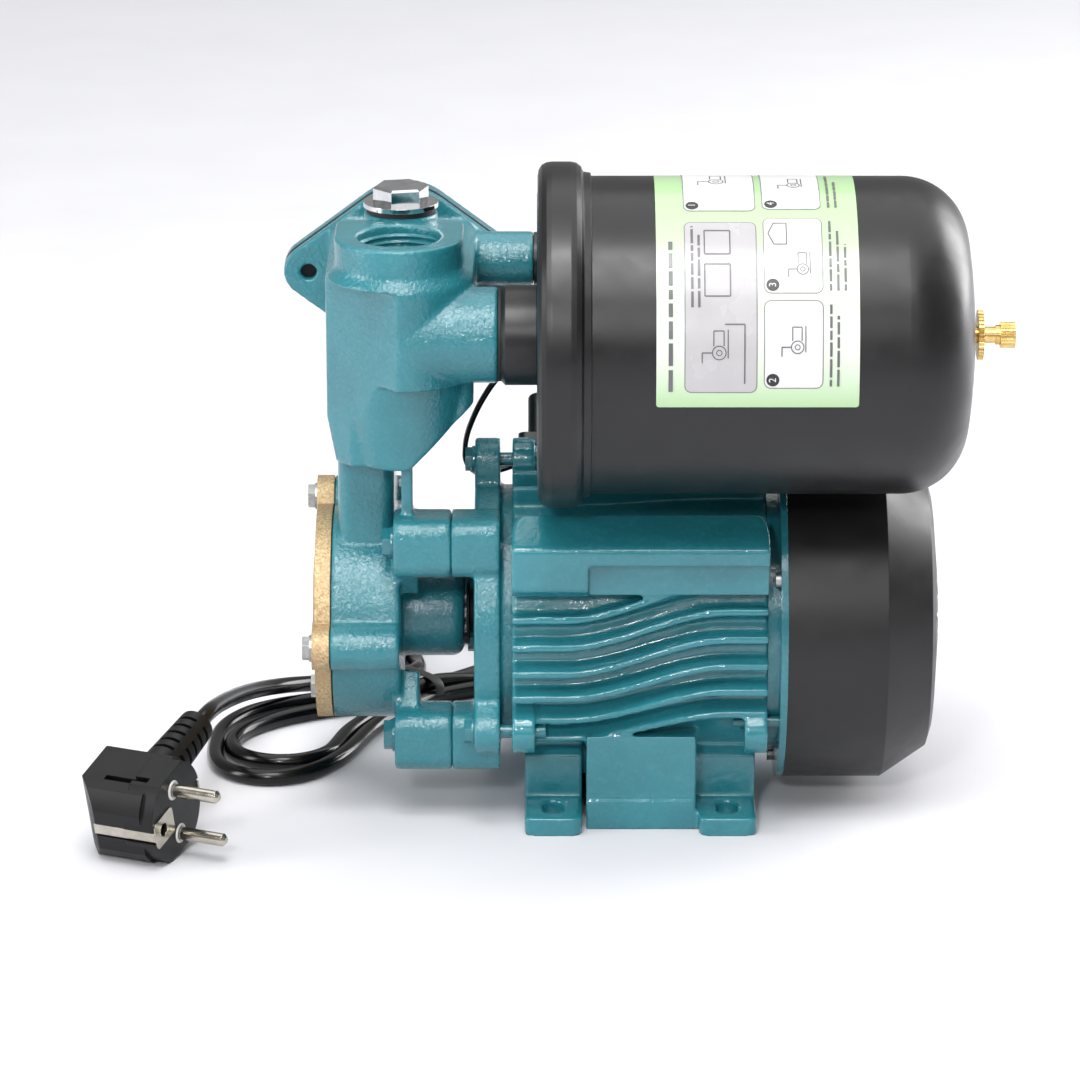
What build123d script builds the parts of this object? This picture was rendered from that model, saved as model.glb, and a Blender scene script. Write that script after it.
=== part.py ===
"""Self-priming peripheral water pump with pressure tank, pressure switch and mains cord.

Millimetres.  +X runs along the motor axis from the pump head to the fan cover, +Y runs away from
the tank side towards the suction flange, +Z is up.  The origin is on the ground plane, at the
middle of the four foot slots.
"""
import os
from math import asin, cos, pi, radians, sin, sqrt, tan

from build123d import *

# ---------------------------------------------------------------- motor: overall sizes
AXIS_H = 68.0              # height of the shaft axis above the ground
FRAME_X0 = -47.5           # front end of the motor frame
FRAME_LEN = 94.0
FRAME_R = 52.5             # outside of the frame's barrel, between the fins
FIN_R = 60.0               # tips of the cooling fins
FIN_PITCH = 10.0           # degrees
FIN_ROOT_T = 4.4
FIN_TIP_T = 2.6
FIN_SHIFT = 13.0           # degrees that a fin climbs along its S
FIN_S = (0.2, 0.84)        # start and end of the S, as shares of the frame's length
FIN_STATIONS = 13
PAD_CORNER_R = 5.0
STATOR_R = 47.5            # outside of the stator, bore of the frame
STATOR_BORE = 25.5
STATOR_LEN = 50.0
STATOR_SLOTS = 18
AIR_GAP = 0.4
ROTOR_SHAFT_R = 8.0
LUG_PCR = 59.5             # bolt circle radius of the three frame lugs
LUG_R = 8.0
LUG_LEN = 8.4
LUG_ANGLES = (90, 210, 330)
END_GAP = 4.5              # open gap between the frame and each end casting
LUG_SCREW_D = 5.0
REAR_SCREW_PCR = 54.8      # the rear screws sit further in, under the fan cover
REAR_SCREW_D = 4.0
SCREW_CLEAR = 0.25

# ---------------------------------------------------------------- foot
FOOT_T = 7.0
FOOT_HALF_Y = 60.0
FOOT_X = ((-42.9, -21.6), (21.6, 42.9))
FOOT_WEB_Y = 37.0          # half width of a foot's upright
FOOT_SHOULDER = (23.0, 30.0)
FOOT_BLOCK_Y = 52.0        # half width of the hollow block between the feet
FOOT_BLOCK_H = 36.0
FOOT_WALL = 4.0
SLOT_Y = 47.0              # slot centres, each side of the axis
SLOT_W = 7.7
SLOT_LEN = 13.0

# ---------------------------------------------------------------- bearings and shaft
SEAT_R = 6.0               # shaft radius in the bearings, seal and impeller
BEARING_R = 16.0
BEARING_W = 10.0
BALL_R = 2.95
BALL_PCR = 11.0
BALL_COUNT = 7
BALL_CLEAR = 0.05
CAGE_W = 7.6
RACE_SHOULDER = 1.9        # half the gap between the two rings
REAR_BEARING_X = 40.0
FAN_SEAT_R = 5.0
RUN_CLEAR = 0.05

# ---------------------------------------------------------------- front bracket and pump arms
RIM_T = 9.5
RIM_R = 52.5
SPIGOT_T = 5.0
SPIGOT_LEN = 7.0
HUB_WALL = 5.0
ARM_PCR = 50.6             # bolt circle radius of the three arms
ARM_ANGLES = (132, 228, 0)
ARM_H = 22.0
ARM_D = 24.0
ARM_ROUND = 6.0            # rounding of the arms' long edges
ARM_BRACKET_LEN = 8.2
ARM_PUMP_LEN = 21.4
ARM_BOLT_D = 6.0
ARM_WEB_T = 9.0            # webs that tie the pump side of the arms to the casing

# ---------------------------------------------------------------- pump casing
CASING_LEN = 25.8
CASING_R = 40.0
ARM_OVERLAP = 2.2          # the arms start this much before the casing's rear face
IMPELLER_R = 31.9
IMPELLER_W = 8.0
IMPELLER_GAP = 0.1
VANE_COUNT = 36
VANE_SLOT_W = 2.6
CHANNEL_R = (26.5, 35.3)   # inner and outer radius of the water channel
CHANNEL_DEPTH = 3.5
STRIPPER_HALF_W = 6.0
SEAL_DRUM_R = 17.0
SEAL_DRUM_LEN = 23.4
SEAL_BORE_R = 13.0
SEAL_WALL = 6.5
SEAT_RING_R = 10.5
SEAT_RING_W = 6.0
COVER_T = 5.9
EAR_PCR = 44.0
EAR_R = 8.0
EAR_ANGLES = (60, 180, 300)
COVER_BOLT_D = 6.0
ORING_R = 37.4             # mean radius
ORING_D = 2.0

# ---------------------------------------------------------------- upper chambers
PORT_X = -88.4             # axis of the outlet, the filler and the suction flange
CHAMBER_HALF_X = 27.0
CHAMBER_Y = (-59.5, 46.0)
CHAMBER_Z = (136.0, 209.0)
HOPPER_Z = 159.5
MITRE_ANGLE = 50.0          # flat front corner of the chamber, from straight across
MITRE_REACH = 17.4          # the mitre's plane stands this far from the outlet's axis
RISER_R = 27.0              # round body under the outlet's collar
RISER_BORE_R = 12.0
FLARE_H = 4.6               # cone between the round body and the collar
BELLY_R = (19.0, 27.0)      # bulge below the tank boss, at its foot and at its top
BELLY_POS = (-87.0, -25.0)
CHAMBER_FRONT_Y = -38.0     # flat front of the chamber behind the round body
DRUM_ROUND = 4.5
NECK_X = (-112.0, -91.0)
NECK_HALF_Y = 22.0
PASSAGE_R = 6.0
PASSAGE_Y = 13.0
OUTLET_Y = -32.0
OUTLET_Z = 221.9
OUTLET_R = 23.4
COLLAR_H = 10.6             # straight part of the outlet's collar
G1_BORE_R = 15.15          # wall radius of a G1 female thread
THREAD_LEN = 16.0
FILLER_Y = 4.0
FILLER_BOSS_R = 13.6
FILLER_HOLE_R = 9.6
FILLER_FLANGE_R = 13.8
FILLER_HEX = 18.0
FILLER_HEX_H = 6.0
FILLER_SHANK = 11.0
SUCTION_Z = 188.8
SUCTION_BORE_R = 17.0
FLANGE_T = 6.0
FLANGE_HALF = (45.4, 32.6)
FLANGE_LOBE_R = 9.4
FLANGE_APEX_R = 24.0
FLANGE_BOLT_X = 36.0
FLANGE_BOLT_D = 6.0
GASKET_T = 1.5
SUCTION_PLATE_T = 7.0
SUCTION_BOSS_R = 21.0
SUCTION_BOSS_LEN = 10.0
FLAP_R = 14.5
FLAP_T = 2.4
FLAP_PIVOT = 14.6          # height of the hinge line above the port's axis

# ---------------------------------------------------------------- tank
TANK_Y = -42.0
TANK_Z = 187.4
PORT_BOSS_R = 17.4
PORT_BOSS_END = -52.3
TANK_GASKET_T = 1.0
NIPPLE_R = 18.2
NIPPLE_END = -38.3
NIPPLE_BORE_R = 8.0
TANK_BAND_W = 16.7
TANK_BAND_R = 62.6
TANK_R = 57.5
TANK_CYL_END = 93.0
TANK_DOME = 26.6
TANK_KNUCKLE_R = 24.0      # tight rounding between the cylinder and the crown of the dome
TANK_WALL = 1.2
VALVE_DISC_R = 9.1
VALVE_DISC_T = 2.0
VALVE_STEM_R = 3.0
VALVE_STEM_LEN = 11.0
VALVE_CAP_R = 4.8
VALVE_CAP_LEN = 5.4
VALVE_HEIGHT = 15.0        # from the dome to the end of the cap

# ---------------------------------------------------------------- pressure switch
SWITCH_Y = 34.0
SWITCH_Z = 195.7
SWITCH_PORT_R = 10.3
SWITCH_PORT_END = -39.6
SWITCH_SLEEVE_R = 10.0
SWITCH_SLEEVE_LEN = 22.6
SWITCH_BODY_R = 16.6
SWITCH_BODY_LEN = 3.5
SWITCH_COVER_LEN = 38.5

# ---------------------------------------------------------------- rear shield, fan and fan cover
SHIELD_RING_T = 2.6
COVER_R = 62.4
COVER_WALL = 1.8
COVER_CYL_LEN = 39.2
COVER_CONE_LEN = 16.9
COVER_CONE_R = 51.0
COVER_CROWN = 4.6
COVER_SCREW_R = 1.6
COVER_SCREW_ANGLES = (30, 150, 270)
GRILLE_SLOTS = 24
GRILLE_R = (15.0, 45.0)
GRILLE_SLOT_W = 2.4
FAN_R = 50.0
FAN_BLADES = 7
FAN_X0 = 61.0
FAN_HUB_LEN = 20.0

# ---------------------------------------------------------------- terminal box
BOX_TILT = 38.0            # degrees from straight up, towards the suction side
BOX_SEAT = 58.5            # distance of the seat from the shaft axis
BOX_X = (-41.7, 38.3)
BOX_HALF_T = 22.0
BOX_BASE_H = 15.0
BOX_LID_H = 6.5
BOX_WALL = 2.0
BOX_LIP = 3.7
GLAND_X = 20.0
GLAND_N = 8.0              # height of the gland above the seat
GLAND_NUT_LEN = 8.0
GLAND_BOOT_LEN = 24.0

# ---------------------------------------------------------------- mains cord
CORD_D = 6.4
LEAD_STRAIGHT = 52.0       # straight run along the gland's axis, from the box wall
LEAD_START = 29.0          # the tube starts this far from the box wall, inside the boot
LEAD_ROUTE = ((19.6, 115, 57), (18, 120.5, 38.5), (9.5, 123.5, 22.5), (-6, 123.5, 11.5), (-24, 117, 5),
              (-41, 106.5, 3.2), (-56, 96.5, 3.2))
HANK_LEAD_END = (-72.0, 89.0)
HANK_TAIL_START = (-95.0, 97.8)
HANK_TIE = (-85.0, 92.0)
HANK_TIE_ANGLE = 41.0
HANK_TIE_SIZE = (19.0, 25.6, 11.0)
HANK_FRONT = ((-93.0, 98.0), (-128.0, 81.5), (-149.5, 73.5), (-163.7, 42.0), (-155.0, 0.0), (-134.0, -18.0),
              (-114.5, 4.5), (-98.0, 50.0), (-78.0, 83.0))
HANK_BACK = ((-75.0, 90.5), (-59.0, 100.0), (-44.5, 114.0), (-36.8, 136.0), (-46.5, 161.0), (-75.0, 169.2),
             (-96.5, 152.0), (-98.2, 125.0), (-90.0, 102.0))
TAIL_ROUTE = ((-110, 99.5, 3.2), (-125, 96.5, 4.6), (-138, 86.5, 8.5), (-146.5, 70, 14.5), (-151, 49, 21.5),
              (-153.5, 27, 28.5), (-156.5, 5, 34.5))
PLUG_POS = (-169.7, -82.2, 18.3)
PLUG_YAW = -24.0
PLUG_ROLL = 15.0
PLUG_R = 18.6
PLUG_DEPTH = 33.0
PIN_D = 4.8
PIN_LEN = 19.0
PIN_SPACING = 19.0
PIN_TIP = 1.2
SLEEVE_LEN = 34.0
SLEEVE_CORE_R = 5.2
SLOT_T = 1.7
EARTH_SEAT = 2.0            # depth of the seats of the side earth contacts
EARTH_HOLE_R = 2.5
EARTH_HOLE_Y = -11.5
WIRE_D = 2.0
WIRE_GAP = 0.3
WIRE_ENTRY_T = 10.5        # where the wires enter the terminal box, across its end
WIRE_ENTRY_N = 7.2
WIRE_EXIT = 5.5            # from the switch housing's front edge to the wires
WIRE_ROUTE = ((-12, 34.3, 176.5), (-17.5, 35, 171), (-26.5, 36, 167.5), (-36.5, 36, 163), (-46, 36, 156),
              (-54.5, 36.3, 147.5), (-61, 37, 136.5), (-65.5, 38, 124.5), (-66, 41, 113.5),
              (-60, 45.2, 107), (-50.5, 48.6, 109))

# ---------------------------------------------------------------- places that follow
FRAME_X1 = FRAME_X0 + FRAME_LEN
RIM_X1 = FRAME_X0 - END_GAP
RIM_X0 = RIM_X1 - RIM_T
ARM_X1 = RIM_X0 - ARM_BRACKET_LEN
ARM_X0 = ARM_X1 - ARM_PUMP_LEN
CASING_X1 = ARM_X0 + ARM_OVERLAP
CASING_X0 = CASING_X1 - CASING_LEN
COVER_X0 = CASING_X0 - COVER_T
DRUM_X1 = CASING_X1 + SEAL_DRUM_LEN
CAVITY_X1 = CASING_X0 + IMPELLER_W + 2 * IMPELLER_GAP
IMPELLER_X0 = CASING_X0 + IMPELLER_GAP
FRONT_BEARING_X = RIM_X0 + 3.0
SHIELD_X0 = FRAME_X1
SHIELD_X1 = FRAME_X1 + END_GAP
RING_X1 = SHIELD_X1 + SHIELD_RING_T
COVER_END = SHIELD_X1 + COVER_CYL_LEN + COVER_CONE_LEN
COVER_SCREW_PCR = COVER_R - COVER_WALL - 3.5
SHAFT_END = FAN_X0 + FAN_HUB_LEN + 2.0
BAND_X1 = NIPPLE_END + TANK_BAND_W
DOME_X = TANK_CYL_END + TANK_DOME
SUCTION_SEAT_Y = CHAMBER_Y[1] + GASKET_T
PORT_BOSS_Z0 = TANK_Z - PORT_BOSS_R


# ================================================================ helpers
def box(x, y, z):
    """A block between the two values given for each axis."""
    centre = Pos((x[0] + x[1]) / 2, (y[0] + y[1]) / 2, (z[0] + z[1]) / 2)
    return centre * Box(x[1] - x[0], y[1] - y[0], z[1] - z[0])


def rod_x(radius, x0, x1, y=0.0, z=AXIS_H):
    """A round bar along X."""
    return Pos((x0 + x1) / 2, y, z) * Rot(0, 90, 0) * Cylinder(radius, x1 - x0)


def rod_y(radius, y0, y1, x, z):
    """A round bar along Y."""
    return Pos(x, (y0 + y1) / 2, z) * Rot(90, 0, 0) * Cylinder(radius, y1 - y0)


def rod_z(radius, z0, z1, x, y):
    """A round bar along Z."""
    return Pos(x, y, (z0 + z1) / 2) * Cylinder(radius, z1 - z0)


def ring_x(outer, inner, x0, x1, y=0.0, z=AXIS_H):
    """A round tube along X."""
    return rod_x(outer, x0, x1, y, z) - rod_x(inner, x0 - 1, x1 + 1, y, z)


def turned(outline, y=0.0, z=AXIS_H):
    """A body of revolution about X, from an outline of (x, radius) points."""
    points = [Vector(x, 0, r) for x, r in outline]
    face = make_face(Polyline(*points, close=True))
    return Pos(0, y, z) * revolve(face, Axis.X, 360)


def polar(radius, angle):
    """The (y, z) of a point on a circle about the shaft axis, from +Y towards +Z."""
    return radius * cos(radians(angle)), AXIS_H + radius * sin(radians(angle))


def hexagon_x(across, x0, x1, y, z):
    """A hexagonal bar along X, given the size across its flats."""
    prism = extrude(RegularPolygon(across / sqrt(3), 6), x1 - x0)
    return Pos(x0, y, z) * Rot(0, 90, 0) * prism


def bolt_x(diameter, across, head_t, seat_x, tip_x, y, z):
    """A hexagon bolt along X: its head sits on seat_x and its tip is at tip_x."""
    sign = 1.0 if tip_x > seat_x else -1.0
    far = seat_x - sign * head_t
    head = hexagon_x(across, min(far, seat_x), max(far, seat_x), y, z)
    crown = rod_x(across * 0.475, min(far, seat_x), max(far, seat_x), y, z)
    washer = rod_x(across * 0.62, min(seat_x, seat_x - sign * 1.0), max(seat_x, seat_x - sign * 1.0), y, z)
    shank = rod_x(diameter / 2, min(seat_x, tip_x), max(seat_x, tip_x), y, z)
    return head + crown + washer + shank


def compound(solids):
    """Several separate solids as one node."""
    return Compound(children=list(solids))


def write(name, shape):
    """One STEP file for each node."""
    export_step(shape, "parts/" + name + ".step")


# ================================================================ motor frame
def climb(share):
    """How far up its S a fin is at this share of the frame's length: 0 at the front, 1 at the rear."""
    t = (share - FIN_S[0]) / (FIN_S[1] - FIN_S[0])
    t = min(1.0, max(0.0, t))
    return t * t * (3 - 2 * t)


def fin(angle, shift):
    """One S-shaped cooling fin; the angle is taken from the tank side (-Y) upwards."""
    sections = []
    for step in range(FIN_STATIONS):
        share = step / (FIN_STATIONS - 1)
        a = radians(angle + shift * climb(share))
        out = Vector(0, -cos(a), sin(a))
        side = Vector(0, sin(a), cos(a))
        base = Vector(FRAME_X0 + FRAME_LEN * share, 0, AXIS_H)
        inner = FRAME_R - 2.0
        corners = [base + out * inner - side * FIN_ROOT_T / 2, base + out * FIN_R - side * FIN_TIP_T / 2,
                   base + out * FIN_R + side * FIN_TIP_T / 2, base + out * inner + side * FIN_ROOT_T / 2]
        sections.append(make_face(Polyline(*corners, close=True)))
    return loft(sections)


def frame_fins():
    """All fins: the tank side, the top and the suction side."""
    front = [fin(15.0 - FIN_PITCH * k, FIN_SHIFT) for k in range(6)]
    top = [fin(68.0 + FIN_PITCH * k, 4.0) for k in range(3)]
    rear = [mirror(f, about=Plane.XZ) for f in front]
    return front + top + rear


def name_pad():
    """The raised block on the upper tank side, with a sloping top."""
    outline = [(-62.0, 96.0), (-62.0, 112.0), (-44.0, 119.5), (-30.0, 110.0), (-40.0, 92.0), (-57.0, 92.5)]
    face = make_face(Polyline(*[Vector(FRAME_X0, y, z) for y, z in outline], close=True))
    pad = extrude(face, FRAME_LEN, dir=(1, 0, 0))
    step = box((FRAME_X0 + 28.0, FRAME_X1 + 1), (-63.0, -56.0), (90.0, 105.5))
    edge = pad.edges().filter_by(Axis.X).sort_by(Axis.Y)[:2]
    front = box((FRAME_X0, FRAME_X1), (-70.0, -20.0), (60.0, 119.5))
    front = fillet(front.edges().filter_by(Axis.Y).sort_by(Axis.Z)[2:], PAD_CORNER_R)
    return (fillet(edge, 2.5) & front) - step


def box_seat():
    """The flat seat under the terminal box."""
    seat = box((BOX_X[0] - BOX_LIP, BOX_X[1] + BOX_LIP), (-BOX_HALF_T, BOX_HALF_T), (44.0, BOX_SEAT))
    return Pos(0, 0, AXIS_H) * Rot(-BOX_TILT, 0, 0) * seat


def lugs(x0, x1):
    """Three bolt lugs between two places along the frame."""
    parts = []
    for angle in LUG_ANGLES:
        y, z = polar(LUG_PCR, angle)
        inner_y, inner_z = polar(FRAME_R - 6.0, angle)
        web = Pos((x0 + x1) / 2, (y + inner_y) / 2, (z + inner_z) / 2)
        web = web * Rot(angle, 0, 0) * Box(x1 - x0, LUG_PCR - FRAME_R + 6.0, 2 * LUG_R)
        parts += [rod_x(LUG_R, x0, x1, y, z), web]
    return parts


def lug_holes(radius, x0, x1, circle=LUG_PCR):
    """The three holes through the lugs."""
    return [rod_x(radius, x0, x1, *polar(circle, angle)) for angle in LUG_ANGLES]


def foot_upright(x0, x1):
    """One upright of the foot, with its sloping shoulder, and the slotted pad under it."""
    low, high = FOOT_SHOULDER
    half = FOOT_WEB_Y
    outline = [(-half, 0.0), (half, 0.0), (half, low), (half - 5, high), (half - 5, 42.0),
               (5 - half, 42.0), (5 - half, high), (-half, low)]
    face = make_face(Polyline(*[Vector(x0, y, z) for y, z in outline], close=True))
    upright = extrude(face, x1 - x0, dir=(1, 0, 0))
    pad = box((x0, x1), (-FOOT_HALF_Y, FOOT_HALF_Y), (0.0, FOOT_T))
    pad = fillet(pad.edges().filter_by(Axis.Z), 3.0)
    hollow = box((x0 + FOOT_WALL, x1 - FOOT_WALL), (FOOT_WALL - half, half - FOOT_WALL), (-1.0, 12.0))
    return upright + pad - hollow


def foot():
    """The cast foot: two slotted uprights and the hollow block between them."""
    left, right = FOOT_X
    block_x = (left[1] + 1.6, right[0] - 1.0)
    block = box(block_x, (-FOOT_BLOCK_Y, FOOT_BLOCK_Y), (0.0, FOOT_BLOCK_H))
    band = box(block_x, (-FOOT_BLOCK_Y - 1.0, FOOT_BLOCK_Y + 1.0), (0.0, 11.0))
    inner_x = (block_x[0] + FOOT_WALL, block_x[1] - FOOT_WALL)
    hollow = box(inner_x, (FOOT_WALL - FOOT_BLOCK_Y, FOOT_BLOCK_Y - FOOT_WALL), (-1.0, 16.0))
    rib = box(inner_x, (-FOOT_WALL / 2, FOOT_WALL / 2), (0.0, 16.0))
    bridge = box((left[0] + 8, right[1] - 8), (-FOOT_WEB_Y + 6, FOOT_WEB_Y - 6), (14.0, 30.0))
    body = block + band - hollow + rib + bridge
    slots = []
    for x0, x1 in FOOT_X:
        body += foot_upright(x0, x1)
        for side in (-1, 1):
            slot = extrude(SlotOverall(SLOT_LEN, SLOT_W, rotation=90), FOOT_T + 4)
            slots.append(Pos((x0 + x1) / 2, side * SLOT_Y, -2) * slot)
    return body - slots


def motor_frame():
    barrel = rod_x(FRAME_R, FRAME_X0, FRAME_X1)
    body = barrel + frame_fins() + [name_pad(), box_seat()]
    body += lugs(FRAME_X0, FRAME_X0 + LUG_LEN) + lugs(FRAME_X1 - LUG_LEN, FRAME_X1)
    body += foot()
    above_seat = Pos(0, 0, AXIS_H) * Rot(-BOX_TILT, 0, 0)
    above_seat = above_seat * box((FRAME_X0 - 1, BOX_X[1] + BOX_LIP + 1), (-BOX_HALF_T - 3, BOX_HALF_T + 3),
                                  (BOX_SEAT, BOX_SEAT + 12))
    wire_hole = Pos(-20, 0, AXIS_H) * Rot(-BOX_TILT, 0, 0) * Pos(0, 0, 54) * Cylinder(6, 20)
    cuts = [rod_x(STATOR_R, FRAME_X0 - 1, FRAME_X1 + 1), above_seat, wire_hole]
    cuts += lug_holes(LUG_SCREW_D / 2, FRAME_X0 - 1, FRAME_X0 + LUG_LEN + 6)
    cuts += lug_holes(REAR_SCREW_D / 2, FRAME_X1 - LUG_LEN - 6, FRAME_X1 + 1, REAR_SCREW_PCR)
    return body - cuts


# ================================================================ motor inside
def stator_core():
    core = ring_x(STATOR_R, STATOR_BORE, -STATOR_LEN / 2, STATOR_LEN / 2)
    slot = box((-STATOR_LEN, STATOR_LEN), (STATOR_BORE + 2.0, STATOR_R - 6.0), (-2.6, 2.6))
    mouth = box((-STATOR_LEN, STATOR_LEN), (STATOR_BORE - 1.0, STATOR_BORE + 3.0), (-1.0, 1.0))
    cut = slot + mouth
    cuts = [Pos(0, 0, AXIS_H) * Rot(k * 360 / STATOR_SLOTS, 0, 0) * cut for k in range(STATOR_SLOTS)]
    return core - cuts


def windings():
    """Copper coils: a bar in every stator slot, joined by a rounded end turn at each end."""
    half = STATOR_LEN / 2
    low, high = STATOR_BORE + 2.5, STATOR_R - 6.5
    turns = []
    for sign in (-1, 1):
        outline = [(sign * (half + 0.5), low), (sign * (half + 0.5), high), (sign * (half + 9), high + 1.5),
                   (sign * (half + 13), high - 1.5), (sign * (half + 13), low + 3), (sign * (half + 9), low)]
        turns.append(turned(outline))
    bar = box((-half - 2, half + 2), (low, high), (-2.2, 2.2))
    bars = [Pos(0, 0, AXIS_H) * Rot(k * 360 / STATOR_SLOTS, 0, 0) * bar for k in range(STATOR_SLOTS)]
    return turns[0] + turns[1] + bars


def rotor_core():
    """Laminated rotor with cast end rings and small cooling paddles."""
    half = STATOR_LEN / 2
    radius = STATOR_BORE - AIR_GAP
    body = rod_x(radius, -half, half) + rod_x(radius - 1.5, -half - 5, half + 5)
    body -= [rod_x(14.0, -half - 6, -half), rod_x(14.0, half, half + 6)]
    paddles = []
    for k in range(8):
        for x0 in (-half - 9, half + 4):
            paddle = box((x0, x0 + 5), (16.5, radius - 3), (-0.9, 0.9))
            paddles.append(Pos(0, 0, AXIS_H) * Rot(k * 45, 0, 0) * paddle)
    return body + paddles - rod_x(ROTOR_SHAFT_R, -half - 10, half + 10)


def shaft():
    """Stainless shaft: impeller and seal end, rotor seat, rear bearing seat and fan seat."""
    front_shoulder = FRONT_BEARING_X + BEARING_W
    tip = IMPELLER_X0 + 0.6
    outline = [(tip, 0.0), (tip, SEAT_R - 0.6), (tip + 0.6, SEAT_R), (front_shoulder, SEAT_R),
               (front_shoulder, ROTOR_SHAFT_R), (REAR_BEARING_X, ROTOR_SHAFT_R), (REAR_BEARING_X, SEAT_R),
               (RING_X1 + 4, SEAT_R), (RING_X1 + 4, FAN_SEAT_R), (SHAFT_END - 0.6, FAN_SEAT_R),
               (SHAFT_END, FAN_SEAT_R - 0.6), (SHAFT_END, 0.0)]
    flat = box((tip - 1, IMPELLER_X0 + IMPELLER_W), (-8, 8), (AXIS_H + SEAT_R - 1.2, AXIS_H + SEAT_R + 2))
    return turned(outline) - flat


def bearing_outer(x0):
    groove = Pos(x0 + BEARING_W / 2, 0, AXIS_H) * Rot(0, 90, 0) * Torus(BALL_PCR, BALL_R + BALL_CLEAR)
    return ring_x(BEARING_R, BALL_PCR + RACE_SHOULDER, x0, x0 + BEARING_W) - groove


def bearing_inner(x0):
    groove = Pos(x0 + BEARING_W / 2, 0, AXIS_H) * Rot(0, 90, 0) * Torus(BALL_PCR, BALL_R + BALL_CLEAR)
    return ring_x(BALL_PCR - RACE_SHOULDER, SEAT_R, x0, x0 + BEARING_W) - groove


def bearing_balls(x0):
    """The balls of one bearing and the moulded cage that spaces them."""
    middle = x0 + BEARING_W / 2
    cage = ring_x(BALL_PCR + 0.9, BALL_PCR - 0.9, middle - CAGE_W / 2, middle + CAGE_W / 2)
    balls = []
    for k in range(BALL_COUNT):
        place = Pos(middle, 0, AXIS_H) * Rot(k * 360 / BALL_COUNT, 0, 0) * Pos(0, BALL_PCR, 0)
        cage -= place * Rot(90, 0, 0) * Cylinder(BALL_R + BALL_CLEAR, 8.0)
        balls.append(place * Sphere(BALL_R))
    return compound([cage] + balls)


# ================================================================ front bracket
def arm_block(x0, x1):
    """The three square bosses where the pump meets the bracket."""
    parts = []
    for angle in ARM_ANGLES:
        y, z = polar(ARM_PCR, angle)
        depth, height = (ARM_H, ARM_D) if angle == 0 else (ARM_D, ARM_H)
        block = box((x0, x1), (y - depth / 2, y + depth / 2), (z - height / 2, z + height / 2))
        parts.append(fillet(block.edges().filter_by(Axis.X), ARM_ROUND))
    return parts


def arm_holes(radius, x0, x1):
    return [rod_x(radius, x0, x1, *polar(ARM_PCR, angle)) for angle in ARM_ANGLES]


def front_bracket():
    """End casting that holds the front bearing and carries the pump on three bosses."""
    rim = rod_x(RIM_R, RIM_X0, RIM_X1)
    spigot = rod_x(STATOR_R, RIM_X1 - 1, FRAME_X0 + SPIGOT_LEN)
    body = rim + spigot + arm_block(ARM_X1, RIM_X1) + lugs(RIM_X0, RIM_X1)
    inside = rod_x(STATOR_R - SPIGOT_T, RIM_X0 + 5, FRAME_X0 + SPIGOT_LEN + 1)
    hub_end = FRONT_BEARING_X + BEARING_W
    hub = rod_x(BEARING_R + HUB_WALL, RIM_X0, hub_end)
    ribs = []
    for k in range(6):
        rib = box((RIM_X0 + 2, hub_end - 2), (BEARING_R + 1, STATOR_R - 2), (-1.8, 1.8))
        ribs.append(Pos(0, 0, AXIS_H) * Rot(k * 60 + 30, 0, 0) * rib)
    body = body - inside + hub + ribs
    cuts = [rod_x(BEARING_R, FRONT_BEARING_X, hub_end + 1), rod_x(SEAT_R + 1.5, RIM_X0 - 1, hub_end)]
    cuts += arm_holes(ARM_BOLT_D / 2, ARM_X1 - 1, RIM_X1 + 1)
    cuts += lug_holes(LUG_SCREW_D / 2 + SCREW_CLEAR, RIM_X0 - 1, RIM_X1 + 1)
    return body - cuts


def arm_bolts():
    places = [polar(ARM_PCR, angle) for angle in ARM_ANGLES]
    return compound(bolt_x(ARM_BOLT_D, 10.0, 4.2, ARM_X0, RIM_X1, y, z) for y, z in places)


def bracket_screws():
    tip = FRAME_X0 + LUG_LEN + 4
    places = [polar(LUG_PCR, angle) for angle in LUG_ANGLES]
    return compound(bolt_x(LUG_SCREW_D, 8.0, 3.6, RIM_X0, tip, y, z) for y, z in places)


# ================================================================ rear shield, fan and cover
def rear_shield():
    """Rear end casting: spigot, drum, bearing hub and the ring that carries the fan cover."""
    spigot = rod_x(STATOR_R, FRAME_X1 - SPIGOT_LEN, SHIELD_X0 + 1)
    drum = rod_x(RIM_R, SHIELD_X0, SHIELD_X1 + 0.5)
    flange = rod_x(COVER_R, SHIELD_X1, RING_X1)
    inside = rod_x(STATOR_R - SPIGOT_T, FRAME_X1 - SPIGOT_LEN - 1, SHIELD_X1 - 1.0)
    hub = rod_x(BEARING_R + HUB_WALL, REAR_BEARING_X, RING_X1 + 1.5)
    body = (spigot + drum + flange) - inside + hub
    body -= [rod_x(BEARING_R, REAR_BEARING_X - 1, REAR_BEARING_X + BEARING_W)]
    body -= [rod_x(SEAT_R + 1.5, REAR_BEARING_X, RING_X1 + 3)]
    body -= lug_holes(REAR_SCREW_D / 2 + SCREW_CLEAR, SHIELD_X0 - 1, RING_X1 + 1, REAR_SCREW_PCR)
    return body - cover_screw_holes(COVER_SCREW_R + 0.1, SHIELD_X1 - 1, RING_X1 + 1)


def shield_screws():
    tip = FRAME_X1 - LUG_LEN - 4
    places = [polar(REAR_SCREW_PCR, angle) for angle in LUG_ANGLES]
    return compound(bolt_x(REAR_SCREW_D, 7.0, 2.8, RING_X1, tip, y, z) for y, z in places)


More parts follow.
